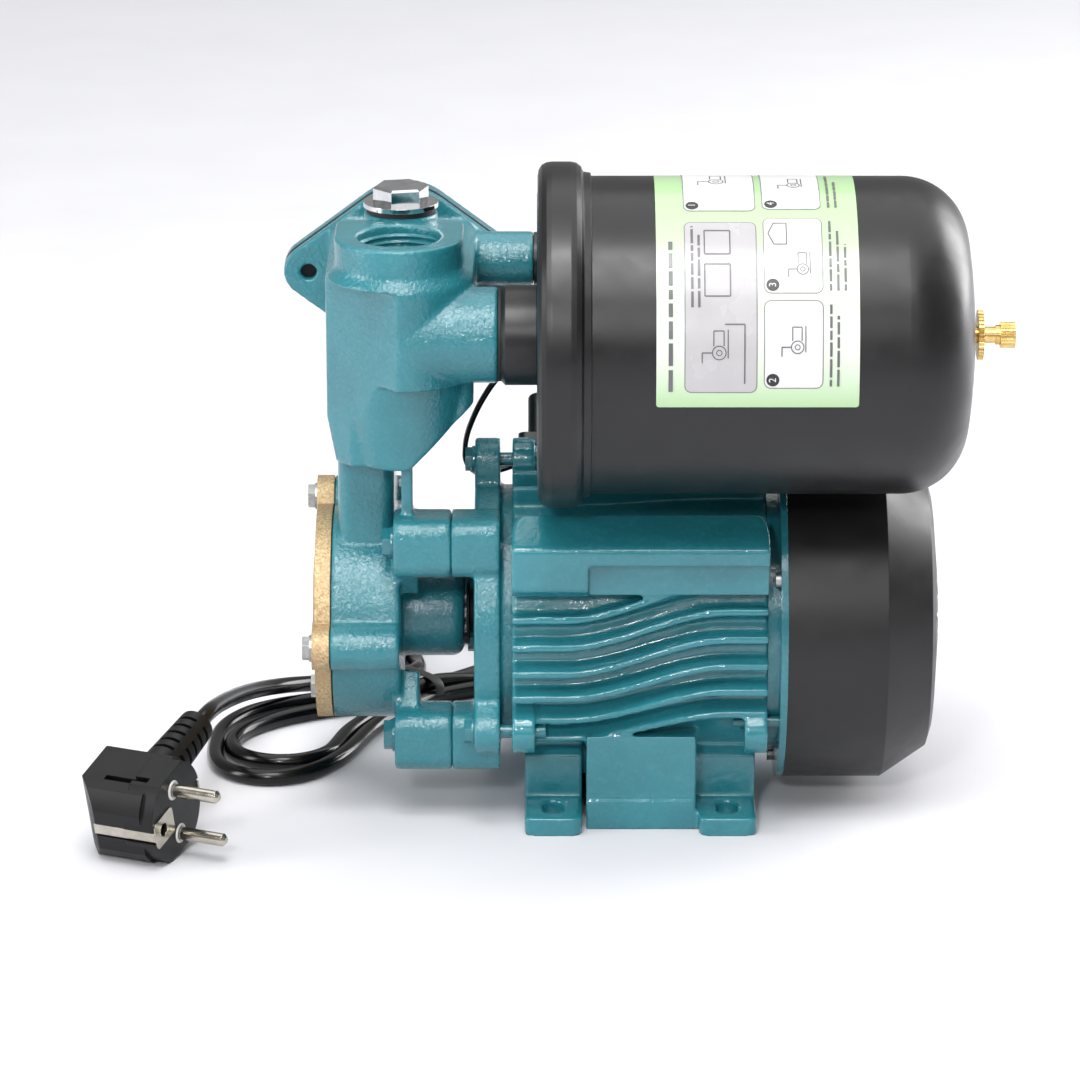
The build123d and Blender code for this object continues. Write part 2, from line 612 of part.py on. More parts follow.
def cooling_fan():
    """Moulded fan: hub, back plate and straight radial blades."""
    hub = rod_x(12.0, FAN_X0, FAN_X0 + FAN_HUB_LEN)
    plate = rod_x(38.0, FAN_X0, FAN_X0 + 2.2)
    blades = []
    for k in range(FAN_BLADES):
        outline = [(FAN_X0 + 0.5, 10.0), (FAN_X0 + FAN_HUB_LEN - 2, 10.0), (FAN_X0 + FAN_HUB_LEN, FAN_R - 8),
                   (FAN_X0 + FAN_HUB_LEN - 4, FAN_R), (FAN_X0 + 1.5, FAN_R), (FAN_X0 + 0.5, 36.0)]
        face = make_face(Polyline(*[Vector(x, r, -1.0) for x, r in outline], close=True))
        blade = extrude(face, 2.0, dir=(0, 0, 1))
        blades.append(Pos(0, 0, AXIS_H) * Rot(k * 360 / FAN_BLADES, 0, 0) * blade)
    return hub + plate + blades - rod_x(FAN_SEAT_R, FAN_X0 - 1, SHAFT_END + 1)


def cover_outline(inset):
    """Half section of the fan cover's outside, or of its inside when inset by the wall."""
    end = COVER_END + COVER_CROWN - inset
    x0 = RING_X1 - (0.0 if inset == 0 else 1.0)
    cyl_x = SHIELD_X1 + COVER_CYL_LEN - inset * 0.35
    return [(x0, 0.0), (x0, COVER_R - inset), (cyl_x, COVER_R - inset),
            (COVER_END - inset * 0.8, COVER_CONE_R - inset * 0.7), (COVER_END + 1.6 - inset, 46.0),
            (end - 0.8, 24.0), (end, 0.0)]


def fan_cover():
    """Cowl with a conical corner and a radial grille in its end."""
    shell = turned(cover_outline(0.0)) - turned(cover_outline(COVER_WALL))
    slots = []
    for k in range(GRILLE_SLOTS):
        slot = box((COVER_END - 6, COVER_END + 8), GRILLE_R, (-GRILLE_SLOT_W / 2, GRILLE_SLOT_W / 2))
        slots.append(Pos(0, 0, AXIS_H) * Rot(k * 360 / GRILLE_SLOTS, 0, 0) * slot)
    tabs = [rod_x(4.0, RING_X1, RING_X1 + 8, *polar(COVER_SCREW_PCR, a)) for a in COVER_SCREW_ANGLES]
    return (shell - slots) + tabs - cover_screw_holes(COVER_SCREW_R, RING_X1 - 1, RING_X1 + 7)


def cover_screw_holes(radius, x0, x1):
    """Holes for the three screws that hold the fan cover."""
    return [rod_x(radius, x0, x1, *polar(COVER_SCREW_PCR, angle)) for angle in COVER_SCREW_ANGLES]


def fan_cover_screws():
    """Small screws from the front of the ring into the cowl's bosses."""
    parts = []
    for angle in COVER_SCREW_ANGLES:
        y, z = polar(COVER_SCREW_PCR, angle)
        head = rod_x(2.9, SHIELD_X1 - 2.0, SHIELD_X1, y, z)
        parts.append(head + rod_x(COVER_SCREW_R, SHIELD_X1, RING_X1 + 6.5, y, z))
    return compound(parts)


# ================================================================ pump casing and cover
def ears(x0, x1):
    """The three bolt ears round the pump casing."""
    parts = []
    for angle in EAR_ANGLES:
        y, z = polar(EAR_PCR, angle)
        inner_y, inner_z = polar(EAR_PCR - 7.0, angle)
        web = Pos((x0 + x1) / 2, inner_y, inner_z) * Rot(angle, 0, 0) * Box(x1 - x0, 14.0, 2 * EAR_R)
        parts += [rod_x(EAR_R, x0, x1, y, z), web]
    return parts


def ear_holes(radius, x0, x1):
    return [rod_x(radius, x0, x1, *polar(EAR_PCR, angle)) for angle in EAR_ANGLES]


def chamber_block():
    """The chamber above the casing, with hopper sides, and the round bodies at its front: the riser
    under the outlet, the tank's boss and the belly below it. A flat mitre cuts their front corner."""
    x0, x1 = PORT_X - CHAMBER_HALF_X, PORT_X + CHAMBER_HALF_X
    z0, z1 = CHAMBER_Z
    side = [(x0, z1 - 3), (x0, 152.0), (NECK_X[0], z0), (x1 - 23.5, z0), (x1, HOPPER_Z), (x1, z1 - 3),
            (x1 - 3, z1), (x0 + 3, z1)]
    outline = make_face(Polyline(*[Vector(x, CHAMBER_Y[0] - 5, z) for x, z in side], close=True))
    hopper = extrude(outline, CHAMBER_Y[1] - CHAMBER_Y[0] + 5, dir=(0, 1, 0))
    core = box((x0 - 1, x1 + 1), (CHAMBER_FRONT_Y, CHAMBER_Y[1] + 1), (z0 - 1, z1 + 1))
    core = fillet(core.edges().filter_by(Axis.Z).sort_by(Axis.Y)[:2], 6.0)
    riser = rod_z(RISER_R, PORT_BOSS_Z0, OUTLET_Z - COLLAR_H - FLARE_H, PORT_X, OUTLET_Y)
    belly_h = PORT_BOSS_Z0 + 6 - z0
    belly = Pos(*BELLY_POS, z0 + belly_h / 2) * Cone(*BELLY_R, belly_h)
    boss = rod_x(PORT_BOSS_R, x0, PORT_BOSS_END, TANK_Y, TANK_Z)
    mitre = Pos(PORT_X, OUTLET_Y, (z0 + z1) / 2) * Rot(0, 0, -MITRE_ANGLE)
    mitre = mitre * Pos(0, -MITRE_REACH - 30, 0) * Box(120, 60, z1 - z0 + 20)
    return (hopper & (core + riser + belly)) + boss - mitre


def flange_outline(y, thickness):
    """The diamond flange: the hull of two small bolt lobes and two large middle arcs."""
    middle = FLANGE_HALF[1] - FLANGE_APEX_R
    circles = [Pos(0, side * middle) * Circle(FLANGE_APEX_R) for side in (-1, 1)]
    circles += [Pos(side * FLANGE_BOLT_X, 0) * Circle(FLANGE_LOBE_R) for side in (-1, 1)]
    hull = make_hull([edge for circle in circles for edge in circle.edges()])
    return extrude(Plane((PORT_X, y, SUCTION_Z), (1, 0, 0), (0, 1, 0)) * hull, thickness)


def pump_outside():
    """Everything solid of the pump body, before its bores."""
    casing = rod_x(CASING_R, CASING_X0, CASING_X1)
    drum = rod_x(SEAL_DRUM_R, CASING_X1 - 1, DRUM_X1)
    drum = fillet(drum.edges().sort_by(Axis.X)[-1:], DRUM_ROUND)
    neck = box(NECK_X, (-NECK_HALF_Y, NECK_HALF_Y), (AXIS_H + 20, CHAMBER_Z[0] + 12))
    neck = fillet(neck.edges().filter_by(Axis.Z), 5.0)
    parts = [drum, neck, chamber_block()] + ears(CASING_X0, CASING_X1) + arm_block(ARM_X0, ARM_X1)
    for angle in ARM_ANGLES:
        y, z = polar(ARM_PCR, angle)
        foot_y, foot_z = polar(30.0, angle)
        web = Pos(ARM_X0 + ARM_WEB_T / 2, (y + foot_y) / 2, (z + foot_z) / 2)
        parts.append(web * Rot(angle, 0, 0) * Box(ARM_WEB_T, 24.0, 18.0))
    parts.append(box((CASING_X1 + 0.8, CASING_X1 + 5.0), (-36.0, -26.0), (AXIS_H + 44, CHAMBER_Z[0] + 3)))
    parts.append(rod_x(SWITCH_PORT_R, PORT_X + 20, SWITCH_PORT_END, SWITCH_Y, SWITCH_Z))
    collar_z = OUTLET_Z - COLLAR_H
    parts.append(rod_z(OUTLET_R, collar_z, OUTLET_Z, PORT_X, OUTLET_Y))
    parts.append(Pos(PORT_X, OUTLET_Y, collar_z - FLARE_H / 2) * Cone(RISER_R, OUTLET_R, FLARE_H))
    shoulder_x = (PORT_X - OUTLET_R, PORT_X + OUTLET_R)
    shoulder = box(shoulder_x, (OUTLET_Y, OUTLET_Y + OUTLET_R), (CHAMBER_Z[1] - 8, OUTLET_Z))
    parts.append(fillet(shoulder.edges().filter_by(Axis.Z).sort_by(Axis.Y)[2:], 4.0))
    parts.append(rod_z(FILLER_BOSS_R, CHAMBER_Z[1] - 6, OUTLET_Z, PORT_X, FILLER_Y))
    parts.append(flange_outline(CHAMBER_Y[1] - FLANGE_T, FLANGE_T))
    return casing + parts


def stripper():
    """The solid stop between the outlet and the inlet ends of the water channel."""
    return box((COVER_X0, CAVITY_X1 + 6), (-STRIPPER_HALF_W, STRIPPER_HALF_W), (AXIS_H + 10, AXIS_H + 40))


def pump_bores():
    """The water ways, the seal chamber and every screw hole of the pump body."""
    cuts = [rod_x(IMPELLER_R + 0.3, CASING_X0 - 1, CAVITY_X1)]
    cuts.append(rod_x(SEAL_BORE_R, CAVITY_X1 - 1, DRUM_X1 - SEAL_WALL))
    cuts.append(rod_x(SEAT_RING_R, DRUM_X1 - SEAL_WALL - 1, DRUM_X1 - 2.0))
    cuts.append(rod_x(SEAT_R + 1.0, DRUM_X1 - SEAL_WALL, DRUM_X1 + 1))
    channel = ring_x(CHANNEL_R[1], CHANNEL_R[0], CASING_X0 - 1, CAVITY_X1 + CHANNEL_DEPTH)
    cuts.append(channel - stripper())
    cuts.append(ring_x(ORING_R + ORING_D / 2, ORING_R - ORING_D / 2, CASING_X0 - 1, CASING_X0 + ORING_D))
    passage_x = sum(NECK_X) / 2
    for side in (-1, 1):
        cuts.append(rod_z(PASSAGE_R, AXIS_H + 29, TANK_Z - 8, passage_x, side * PASSAGE_Y))
    cuts.append(rod_y(SUCTION_BORE_R, -3.0, CHAMBER_Y[1] + 1, PORT_X, SUCTION_Z))
    cuts.append(rod_z(RISER_BORE_R, TANK_Z - 12, CHAMBER_Z[1] - 3, PORT_X, OUTLET_Y))
    cuts.append(rod_z(G1_BORE_R, OUTLET_Z - THREAD_LEN - 4, OUTLET_Z + 1, PORT_X, OUTLET_Y))
    cuts.append(rod_y(PASSAGE_R, OUTLET_Y, -PASSAGE_Y + 6, passage_x, TANK_Z - 12))
    cuts.append(rod_x(NIPPLE_BORE_R, PORT_X, PORT_BOSS_END + 1, TANK_Y, TANK_Z))
    cuts.append(rod_x(4.5, PORT_X + 8, SWITCH_PORT_END + 1, SWITCH_Y, SWITCH_Z))
    cuts.append(rod_z(FILLER_HOLE_R, SUCTION_Z, OUTLET_Z + 1, PORT_X, FILLER_Y))
    for side in (-1, 1):
        cuts.append(rod_y(FLANGE_BOLT_D / 2, CHAMBER_Y[1] - FLANGE_T - 1, CHAMBER_Y[1] + 1,
                          PORT_X + side * FLANGE_BOLT_X, SUCTION_Z))
    cuts += ear_holes(COVER_BOLT_D / 2, CASING_X0 - 1, CASING_X1 - 5)
    cuts += arm_holes(ARM_BOLT_D / 2, ARM_X0 - 1, ARM_X1 + 1)
    return cuts


def pump_body():
    return pump_outside() - pump_bores()


def pump_cover():
    """Brass front cover with its half of the water channel and a raised middle."""
    body = rod_x(CASING_R, COVER_X0, CASING_X0) + ears(COVER_X0 - 0.6, CASING_X0)
    crown = turned([(COVER_X0 + 1, 0.0), (COVER_X0 + 1, 25.0), (COVER_X0 - 1.2, 22.0), (COVER_X0 - 1.6, 0.0)])
    channel = ring_x(CHANNEL_R[1], CHANNEL_R[0], CASING_X0 - CHANNEL_DEPTH + 0.5, CASING_X0 + 1)
    return body + crown - (channel - stripper()) - ear_holes(COVER_BOLT_D / 2, COVER_X0 - 2, CASING_X0 + 1)


def cover_bolts():
    places = [polar(EAR_PCR, angle) for angle in EAR_ANGLES]
    return compound(bolt_x(COVER_BOLT_D, 8.0, 3.6, COVER_X0 - 0.6, CASING_X1 - 6, y, z) for y, z in places)


def cover_oring():
    return Pos(CASING_X0 + ORING_D / 2, 0, AXIS_H) * Rot(0, 90, 0) * Torus(ORING_R, ORING_D / 2)


def impeller():
    """Peripheral impeller: a flat brass disc with vanes milled into both sides of its rim."""
    x1 = IMPELLER_X0 + IMPELLER_W
    disc = rod_x(IMPELLER_R, IMPELLER_X0, x1)
    flat = box((IMPELLER_X0 - 1, x1 + 1), (-8, 8), (AXIS_H + SEAT_R - 1.2, AXIS_H + SEAT_R + 2))
    bore = rod_x(SEAT_R, IMPELLER_X0 - 1, x1 + 1) - flat
    slots = []
    for k in range(VANE_COUNT):
        for low, high in ((IMPELLER_X0 - 1, IMPELLER_X0 + 2.9), (x1 - 2.9, x1 + 1)):
            slot = box((low, high), (CHANNEL_R[0], IMPELLER_R + 1), (-VANE_SLOT_W / 2, VANE_SLOT_W / 2))
            slots.append(Pos(0, 0, AXIS_H) * Rot(k * 360 / VANE_COUNT, 0, 0) * slot)
    holes = [rod_x(2.5, IMPELLER_X0 - 1, x1 + 1, *polar(16.0, a)) for a in (30, 150, 270)]
    return disc - bore - slots - holes


# ================================================================ shaft seal
def seal_seat():
    """Stationary ceramic ring with its rubber cup, pressed into the drum's end wall."""
    x1 = DRUM_X1 - 2.0
    return ring_x(SEAT_RING_R, SEAT_R + 0.8, x1 - SEAT_RING_W, x1)


def seal_head():
    """Rotating carbon ring in its rubber bellows, tight on the shaft."""
    x1 = DRUM_X1 - 2.0 - SEAT_RING_W - 0.05
    outline = [(x1, SEAT_R), (x1, 9.4), (x1 - 2.5, 9.4), (x1 - 2.5, 11.4), (x1 - 5.5, 11.4),
               (x1 - 5.5, SEAT_R)]
    return turned(outline)


def helix_x(wire_r, mean_r, x0, x1, turns, y=0.0, z=AXIS_H):
    """A helical spring along X that just fits between x0 and x1."""
    height = x1 - x0 - 2 * wire_r
    coil = Helix(height / turns, height, mean_r)
    wire = sweep(Plane(coil @ 0, z_dir=coil % 0) * Circle(wire_r), path=coil, is_frenet=True)
    return Pos(x0 + wire_r, y, z) * Rot(0, 90, 0) * wire


def seal_spring():
    """Spring between the back of the impeller and the seal head."""
    head_x = DRUM_X1 - 2.0 - SEAT_RING_W - 0.05 - 5.5
    return helix_x(0.8, 8.2, IMPELLER_X0 + IMPELLER_W + 0.3, head_x - 0.3, 5)


def slinger():
    """Rubber ring that throws drips off the shaft between the pump and the motor."""
    x0 = DRUM_X1 + 0.8
    outline = [(x0, SEAT_R), (x0, 12.5), (x0 + 0.9, 13.2), (x0 + 1.3, 9.0), (x0 + 2.6, 8.6),
               (x0 + 2.6, SEAT_R)]
    return turned(outline)


# ================================================================ filler plug and suction flange
def filler_plug():
    seat = OUTLET_Z + 2.0
    flange = rod_z(FILLER_FLANGE_R, seat, seat + 1.8, PORT_X, FILLER_Y)
    prism = extrude(RegularPolygon(FILLER_HEX / sqrt(3), 6), FILLER_HEX_H)
    head = Pos(PORT_X, FILLER_Y, seat + 1.8) * Rot(0, 0, 12) * prism
    head = chamfer(head.faces().sort_by(Axis.Z)[-1].edges(), 0.8)
    shank = rod_z(FILLER_HOLE_R - RUN_CLEAR, seat - FILLER_SHANK - 2, seat, PORT_X, FILLER_Y)
    return flange + head + shank


def filler_washer():
    ring = rod_z(FILLER_FLANGE_R - 1.0, OUTLET_Z, OUTLET_Z + 2.0, PORT_X, FILLER_Y)
    return ring - rod_z(FILLER_HOLE_R + 0.3, OUTLET_Z - 1, OUTLET_Z + 3, PORT_X, FILLER_Y)


def flange_gasket():
    sheet = flange_outline(CHAMBER_Y[1], GASKET_T)
    cuts = [rod_y(SUCTION_BORE_R, CHAMBER_Y[1] - 1, CHAMBER_Y[1] + 5, PORT_X, SUCTION_Z)]
    for side in (-1, 1):
        cuts.append(rod_y(FLANGE_BOLT_D / 2 + 0.3, CHAMBER_Y[1] - 1, CHAMBER_Y[1] + 5,
                          PORT_X + side * FLANGE_BOLT_X, SUCTION_Z))
    return sheet - cuts


def suction_flange():
    """Loose inlet flange with a G1 female thread."""
    y0 = SUCTION_SEAT_Y
    plate = flange_outline(y0, SUCTION_PLATE_T)
    end = y0 + SUCTION_PLATE_T + SUCTION_BOSS_LEN
    boss = rod_y(SUCTION_BOSS_R, y0, end, PORT_X, SUCTION_Z)
    cuts = [rod_y(12.5, y0 - 1, end, PORT_X, SUCTION_Z)]
    cuts.append(rod_y(G1_BORE_R, end - THREAD_LEN, end + 1, PORT_X, SUCTION_Z))
    for side in (-1, 1):
        cuts.append(rod_y(FLANGE_BOLT_D / 2 + 0.3, y0 - 1, end, PORT_X + side * FLANGE_BOLT_X, SUCTION_Z))
    return plate + boss - cuts


def flange_bolts():
    """Two bolts from the suction side into the lobes of the pump body."""
    parts = []
    seat = SUCTION_SEAT_Y + SUCTION_PLATE_T
    for side in (-1, 1):
        x = PORT_X + side * FLANGE_BOLT_X
        shank = rod_y(FLANGE_BOLT_D / 2, CHAMBER_Y[1] - FLANGE_T + 3.0, seat, x, SUCTION_Z)
        washer = rod_y(6.0, seat, seat + 1.0, x, SUCTION_Z)
        head = Pos(x, seat + 5.0, SUCTION_Z) * Rot(90, 0, 0) * extrude(RegularPolygon(10 / sqrt(3), 6), 4.0)
        parts.append(shank + washer + head)
    return compound(parts)


def check_flap():
    """Weighted rubber flap of the check valve, hung from its top edge inside the suction bore."""
    y1 = SUCTION_SEAT_Y - 0.3
    disc = rod_y(FLAP_R, y1 - FLAP_T, y1, PORT_X, SUCTION_Z)
    weight = rod_y(9.0, y1 - FLAP_T - 2.2, y1 - FLAP_T, PORT_X, SUCTION_Z)
    ear_z = (SUCTION_Z + FLAP_R - 3, SUCTION_Z + FLAP_PIVOT + 0.6)
    ear = box((PORT_X - 5, PORT_X + 5), (y1 - FLAP_T, y1), ear_z)
    return disc + weight + ear


# ================================================================ pressure tank
def tank_gasket():
    x1 = PORT_BOSS_END + TANK_GASKET_T
    return ring_x(PORT_BOSS_R - 0.6, NIPPLE_BORE_R, PORT_BOSS_END, x1, TANK_Y, TANK_Z)


def tank_nipple():
    """Short pipe that carries the tank on the pump's side port."""
    x0 = PORT_BOSS_END + TANK_GASKET_T
    outline = [(x0, NIPPLE_BORE_R), (x0, NIPPLE_R - 1.5), (x0 + 1.5, NIPPLE_R), (NIPPLE_END, NIPPLE_R),
               (NIPPLE_END, NIPPLE_BORE_R)]
    return turned(outline, TANK_Y, TANK_Z)


def tank_front_shell():
    """Dished front plate of the tank, with the rolled edge that the band holds."""
    x0 = NIPPLE_END
    r = TANK_R - 0.8
    outline = [(x0, NIPPLE_BORE_R), (x0, r - 6), (x0 + 1.0, r - 1.5), (x0 + 3.0, r), (x0 + 6.0, r),
               (x0 + 6.0, r + 2.3), (x0 + 7.2, r + 2.3), (x0 + 7.2, r - TANK_WALL), (x0 + 3.4, r - TANK_WALL),
               (x0 + 1.6, r - 6), (x0 + TANK_WALL, r - 8), (x0 + TANK_WALL, NIPPLE_BORE_R)]
    return turned(outline, TANK_Y, TANK_Z)


def tank_diaphragm():
    """Rubber bag, held by its bead between the two shells."""
    x0 = NIPPLE_END + 7.2
    r = TANK_R - 0.8
    wall = 1.4
    outline = [(x0, r + 2.3), (x0 + 1.6, r + 2.3), (x0 + 1.6, r - 3.0), (x0 + 40, r - 6.0),
               (x0 + 68, 30.0), (x0 + 74, 0.0), (x0 + 74 - wall, 0.0), (x0 + 68 - wall, 30.0 - wall),
               (x0 + 40, r - 6.0 - wall), (x0 + 1.6, r - 3.0 - wall), (x0, r - 3.0 - wall)]
    return turned(outline, TANK_Y, TANK_Z)


def dome_curves(inset):
    """Half of a dished end, inset from the outer face: a knuckle arc and a crown arc that meet smoothly."""
    reach = TANK_R - TANK_KNUCKLE_R
    depth = TANK_DOME - TANK_KNUCKLE_R
    crown_r = (reach ** 2 + depth ** 2) / (2 * depth) + TANK_KNUCKLE_R
    half = asin(reach / (crown_r - TANK_KNUCKLE_R))
    centre_x = DOME_X - crown_r
    knuckle = TANK_KNUCKLE_R - inset
    crown = crown_r - inset

    def on_knuckle(angle):
        return (TANK_CYL_END + knuckle * sin(angle), reach + knuckle * cos(angle))

    def on_crown(angle):
        return (centre_x + crown * cos(angle), crown * sin(angle))

    turn = pi / 2 - half
    return [ThreePointArc(on_knuckle(0), on_knuckle(turn / 2), on_crown(half)),
            ThreePointArc(on_crown(half), on_crown(half / 2), on_crown(0))]


def tank_rear_shell():
    """Deep-drawn rear shell with a dished end."""
    lip = NIPPLE_END + 8.8
    r = TANK_R
    inner = TANK_R - TANK_WALL
    x1 = TANK_CYL_END
    edges = dome_curves(0.0) + [
        Line((x1, r), (lip + 1.2, r)), Line((lip + 1.2, r), (lip + 1.2, r + 1.5)),
        Line((lip + 1.2, r + 1.5), (lip, r + 1.5)), Line((lip, r + 1.5), (lip, inner)),
        Line((lip, inner), (x1, inner)), Line((DOME_X - TANK_WALL, 0), (DOME_X, 0))] + dome_curves(TANK_WALL)
    face = Plane.XZ * make_face(Wire(edges))
    body = Pos(0, TANK_Y, TANK_Z) * revolve(face, Axis.X, 360)
    return body - rod_x(VALVE_STEM_R, DOME_X - 6, DOME_X + 2, TANK_Y, TANK_Z)


def tank_clamp_ring():
    """Rolled band over the joint of the two shells, with a small lip towards the rear."""
    x0, x1 = NIPPLE_END, BAND_X1
    r = TANK_BAND_R
    face_r = TANK_R - 0.8
    section = [(x0 + 3.0, face_r), (x0 + 0.2, face_r), (x0 + 0.2, r - 5.0), (x0 + 0.6, r - 3.0),
               (x0 + 1.7, r - 1.2), (x0 + 3.4, r - 0.3), (x0 + 5.2, r), (x1 - 4.6, r), (x1 - 2.6, r - 0.4),
               (x1 - 0.9, r - 1.6), (x1, r - 3.6),
               (x1 + 2.6, r - 4.0), (x1 + 2.8, TANK_R), (x0 + 10.0, TANK_R), (x0 + 10.0, TANK_R + 1.5),
               (x0 + 6.0, TANK_R + 1.5), (x0 + 6.0, face_r)]
    return turned(section, TANK_Y, TANK_Z)


def knurl_cuts(radius, count, width, x, length):
    """Notches along X round the rim of a knurled part on the tank's axis."""
    notch = Pos(x, radius + width / 4, 0) * Rot(45, 0, 0) * Box(length, width, width)
    return [Pos(0, TANK_Y, TANK_Z) * Rot(k * 360 / count, 0, 0) * notch for k in range(count)]


def valve_stem():
    """Brass air valve: knurled nut, stem and the tube inside the dome."""
    x0 = DOME_X
    knurl = rod_x(VALVE_DISC_R, x0 + 1.4, x0 + 1.4 + VALVE_DISC_T, TANK_Y, TANK_Z)
    cuts = knurl_cuts(VALVE_DISC_R, 36, 0.9, x0 + 2.4, 4.0)
    stem = rod_x(VALVE_STEM_R, x0 - 4.0, x0 + VALVE_STEM_LEN, TANK_Y, TANK_Z)
    collar = rod_x(4.6, x0 - 4.0, x0 - TANK_WALL - 0.2, TANK_Y, TANK_Z)
    bore = rod_x(1.5, x0 - 5, x0 + VALVE_STEM_LEN + 1, TANK_Y, TANK_Z)
    return (knurl - cuts) + stem + collar - bore


def valve_core():
    """Spring pin that opens the air valve when it is pressed."""
    x1 = DOME_X + VALVE_STEM_LEN - 0.6
    pin = rod_x(0.8, x1 - 9.0, x1, TANK_Y, TANK_Z)
    return pin + rod_x(1.5 - RUN_CLEAR, x1 - 7.0, x1 - 4.0, TANK_Y, TANK_Z)


def valve_cap():
    x1 = DOME_X + VALVE_HEIGHT
    x0 = x1 - VALVE_CAP_LEN
    body = rod_x(VALVE_CAP_R, x0, x1, TANK_Y, TANK_Z) + rod_x(VALVE_CAP_R - 1.2, x0 - 1.6, x0, TANK_Y, TANK_Z)
    cuts = knurl_cuts(VALVE_CAP_R, 24, 0.6, x0 + 2.7, 9.0)
    bore = rod_x(VALVE_STEM_R + RUN_CLEAR, x0 - 3, x1 - 2.6, TANK_Y, TANK_Z)
    return body - cuts - bore


# ================================================================ pressure switch
def switch_body():
    """Nipple, black sleeve and flange of the pressure switch, with the plunger's chamber."""
    x0 = SWITCH_PORT_END
    x1 = x0 + SWITCH_SLEEVE_LEN
    x2 = x1 + SWITCH_BODY_LEN
    outline = [(x0, 2.0), (x0, SWITCH_SLEEVE_R), (x1 - 2, SWITCH_SLEEVE_R), (x1, SWITCH_BODY_R - 2),
               (x1 + 1.5, SWITCH_BODY_R), (x2, SWITCH_BODY_R), (x2, 8.0), (x2 + 8, 8.0), (x2 + 8, 6.0),
               (x1 + 3, 6.0), (x1 + 3, 2.0)]
    return turned(outline, SWITCH_Y, SWITCH_Z)


def switch_cover():
    """Black cap over the contacts and the spring."""
    x0 = SWITCH_PORT_END + SWITCH_SLEEVE_LEN + SWITCH_BODY_LEN
    x1 = x0 + SWITCH_COVER_LEN
    r = SWITCH_BODY_R
    outline = [(x0, r - 2.4), (x0, r), (x1 - 3, r), (x1 - 1, r - 1), (x1, r - 3.5), (x1, 0.0),
               (x1 - 1.8, 0.0), (x1 - 1.8, r - 3.6), (x1 - 3.4, r - 2.4)]
    wire_exit = rod_z(2 * WIRE_D, SWITCH_Z - r - 2, SWITCH_Z - 9, x0 + WIRE_EXIT, SWITCH_Y)
    return turned(outline, SWITCH_Y, SWITCH_Z) - wire_exit


def plunger_x():
    return SWITCH_PORT_END + SWITCH_SLEEVE_LEN + 3.3


def switch_plunger():
    """Plunger that the water pressure pushes against the spring."""
    x0 = plunger_x()
    disc = rod_x(6.0 - RUN_CLEAR, x0, x0 + 3.0, SWITCH_Y, SWITCH_Z)
    return disc + rod_x(2.2, x0 + 3.0, x0 + 16.0, SWITCH_Y, SWITCH_Z)


def switch_spring():
    """Range spring round the plunger's stem, and the fixed cup that it pushes against."""
    x0 = plunger_x() + 3.0
    x1 = x0 + 17.0
    end = SWITCH_PORT_END + SWITCH_SLEEVE_LEN + SWITCH_BODY_LEN + SWITCH_COVER_LEN - 1.8
    spring = helix_x(0.45, 3.8, x0 + 0.3, x1 - 0.3, 6, SWITCH_Y, SWITCH_Z)
    cup = ring_x(5.4, 2.6, x1, x1 + 2.0, SWITCH_Y, SWITCH_Z)
    post = ring_x(5.4, 4.2, x1 + 1.0, end, SWITCH_Y, SWITCH_Z)
    return compound([spring, cup + post])


# ================================================================ terminal box
def on_seat(shape):
    """Stand a shape that is made with its base at z = 0 on the tilted seat."""
    return Pos(0, 0, AXIS_H) * Rot(-BOX_TILT, 0, 0) * Pos(0, 0, BOX_SEAT) * shape


def rounded_block(x, y, z, radius):
    block = box(x, y, z)
    return fillet(block.edges().filter_by(Axis.Z), radius)


def terminal_box():
    x0, x1 = BOX_X
    t = BOX_HALF_T
    lip = rounded_block((x0 - BOX_LIP, x1 + BOX_LIP), (-t, t), (0, 5.0), 3.0)
    wall = rounded_block((x0, x1), (-t, t), (0, BOX_BASE_H), 4.0)
    inside = rounded_block((x0 + BOX_WALL, x1 - BOX_WALL), (BOX_WALL - t, t - BOX_WALL),
                           (BOX_WALL, BOX_BASE_H + 1), 2.5)
    posts = [rod_z(3.6, 1.0, BOX_BASE_H, x, y) for x in (x0 + 5, x1 - 5) for y in (5 - t, t - 5)]
    holes = [rod_z(1.5, 5.0, BOX_BASE_H + 1, x, y) for x in (x0 + 5, x1 - 5) for y in (5 - t, t - 5)]
    cable = rod_y(CORD_D / 2 + 0.3, t - 4, t + 1, GLAND_X, GLAND_N)
    wires = rod_x(2 * WIRE_D, x0 - BOX_LIP - 1, x0 + 4, WIRE_ENTRY_T, WIRE_ENTRY_N)
    feed = rod_z(6.0, -1, 3, -20, 0)
    return on_seat((lip + wall - inside) + posts - holes - cable - wires - feed)


def terminal_lid():
    x0, x1 = BOX_X
    t = BOX_HALF_T
    z0, z1 = BOX_BASE_H, BOX_BASE_H + BOX_LID_H
    shell = rounded_block((x0, x1), (-t, t), (z0, z1), 4.0)
    shell = fillet(shell.faces().sort_by(Axis.Z)[-1].edges(), 2.0)
    inside = rounded_block((x0 + BOX_WALL, x1 - BOX_WALL), (BOX_WALL - t, t - BOX_WALL),
                           (z0 - 1, z1 - BOX_WALL), 2.5)
    posts = [rod_z(3.6, z0, z1 - 1, x, y) for x in (x0 + 5, x1 - 5) for y in (5 - t, t - 5)]
    holes = [rod_z(1.7, z0 - 1, z1 + 1, x, y) for x in (x0 + 5, x1 - 5) for y in (5 - t, t - 5)]
    sinks = [rod_z(3.1, z1 - 1.4, z1 + 1, x, y) for x in (x0 + 5, x1 - 5) for y in (5 - t, t - 5)]
    return on_seat((shell - inside) + posts - holes - sinks)


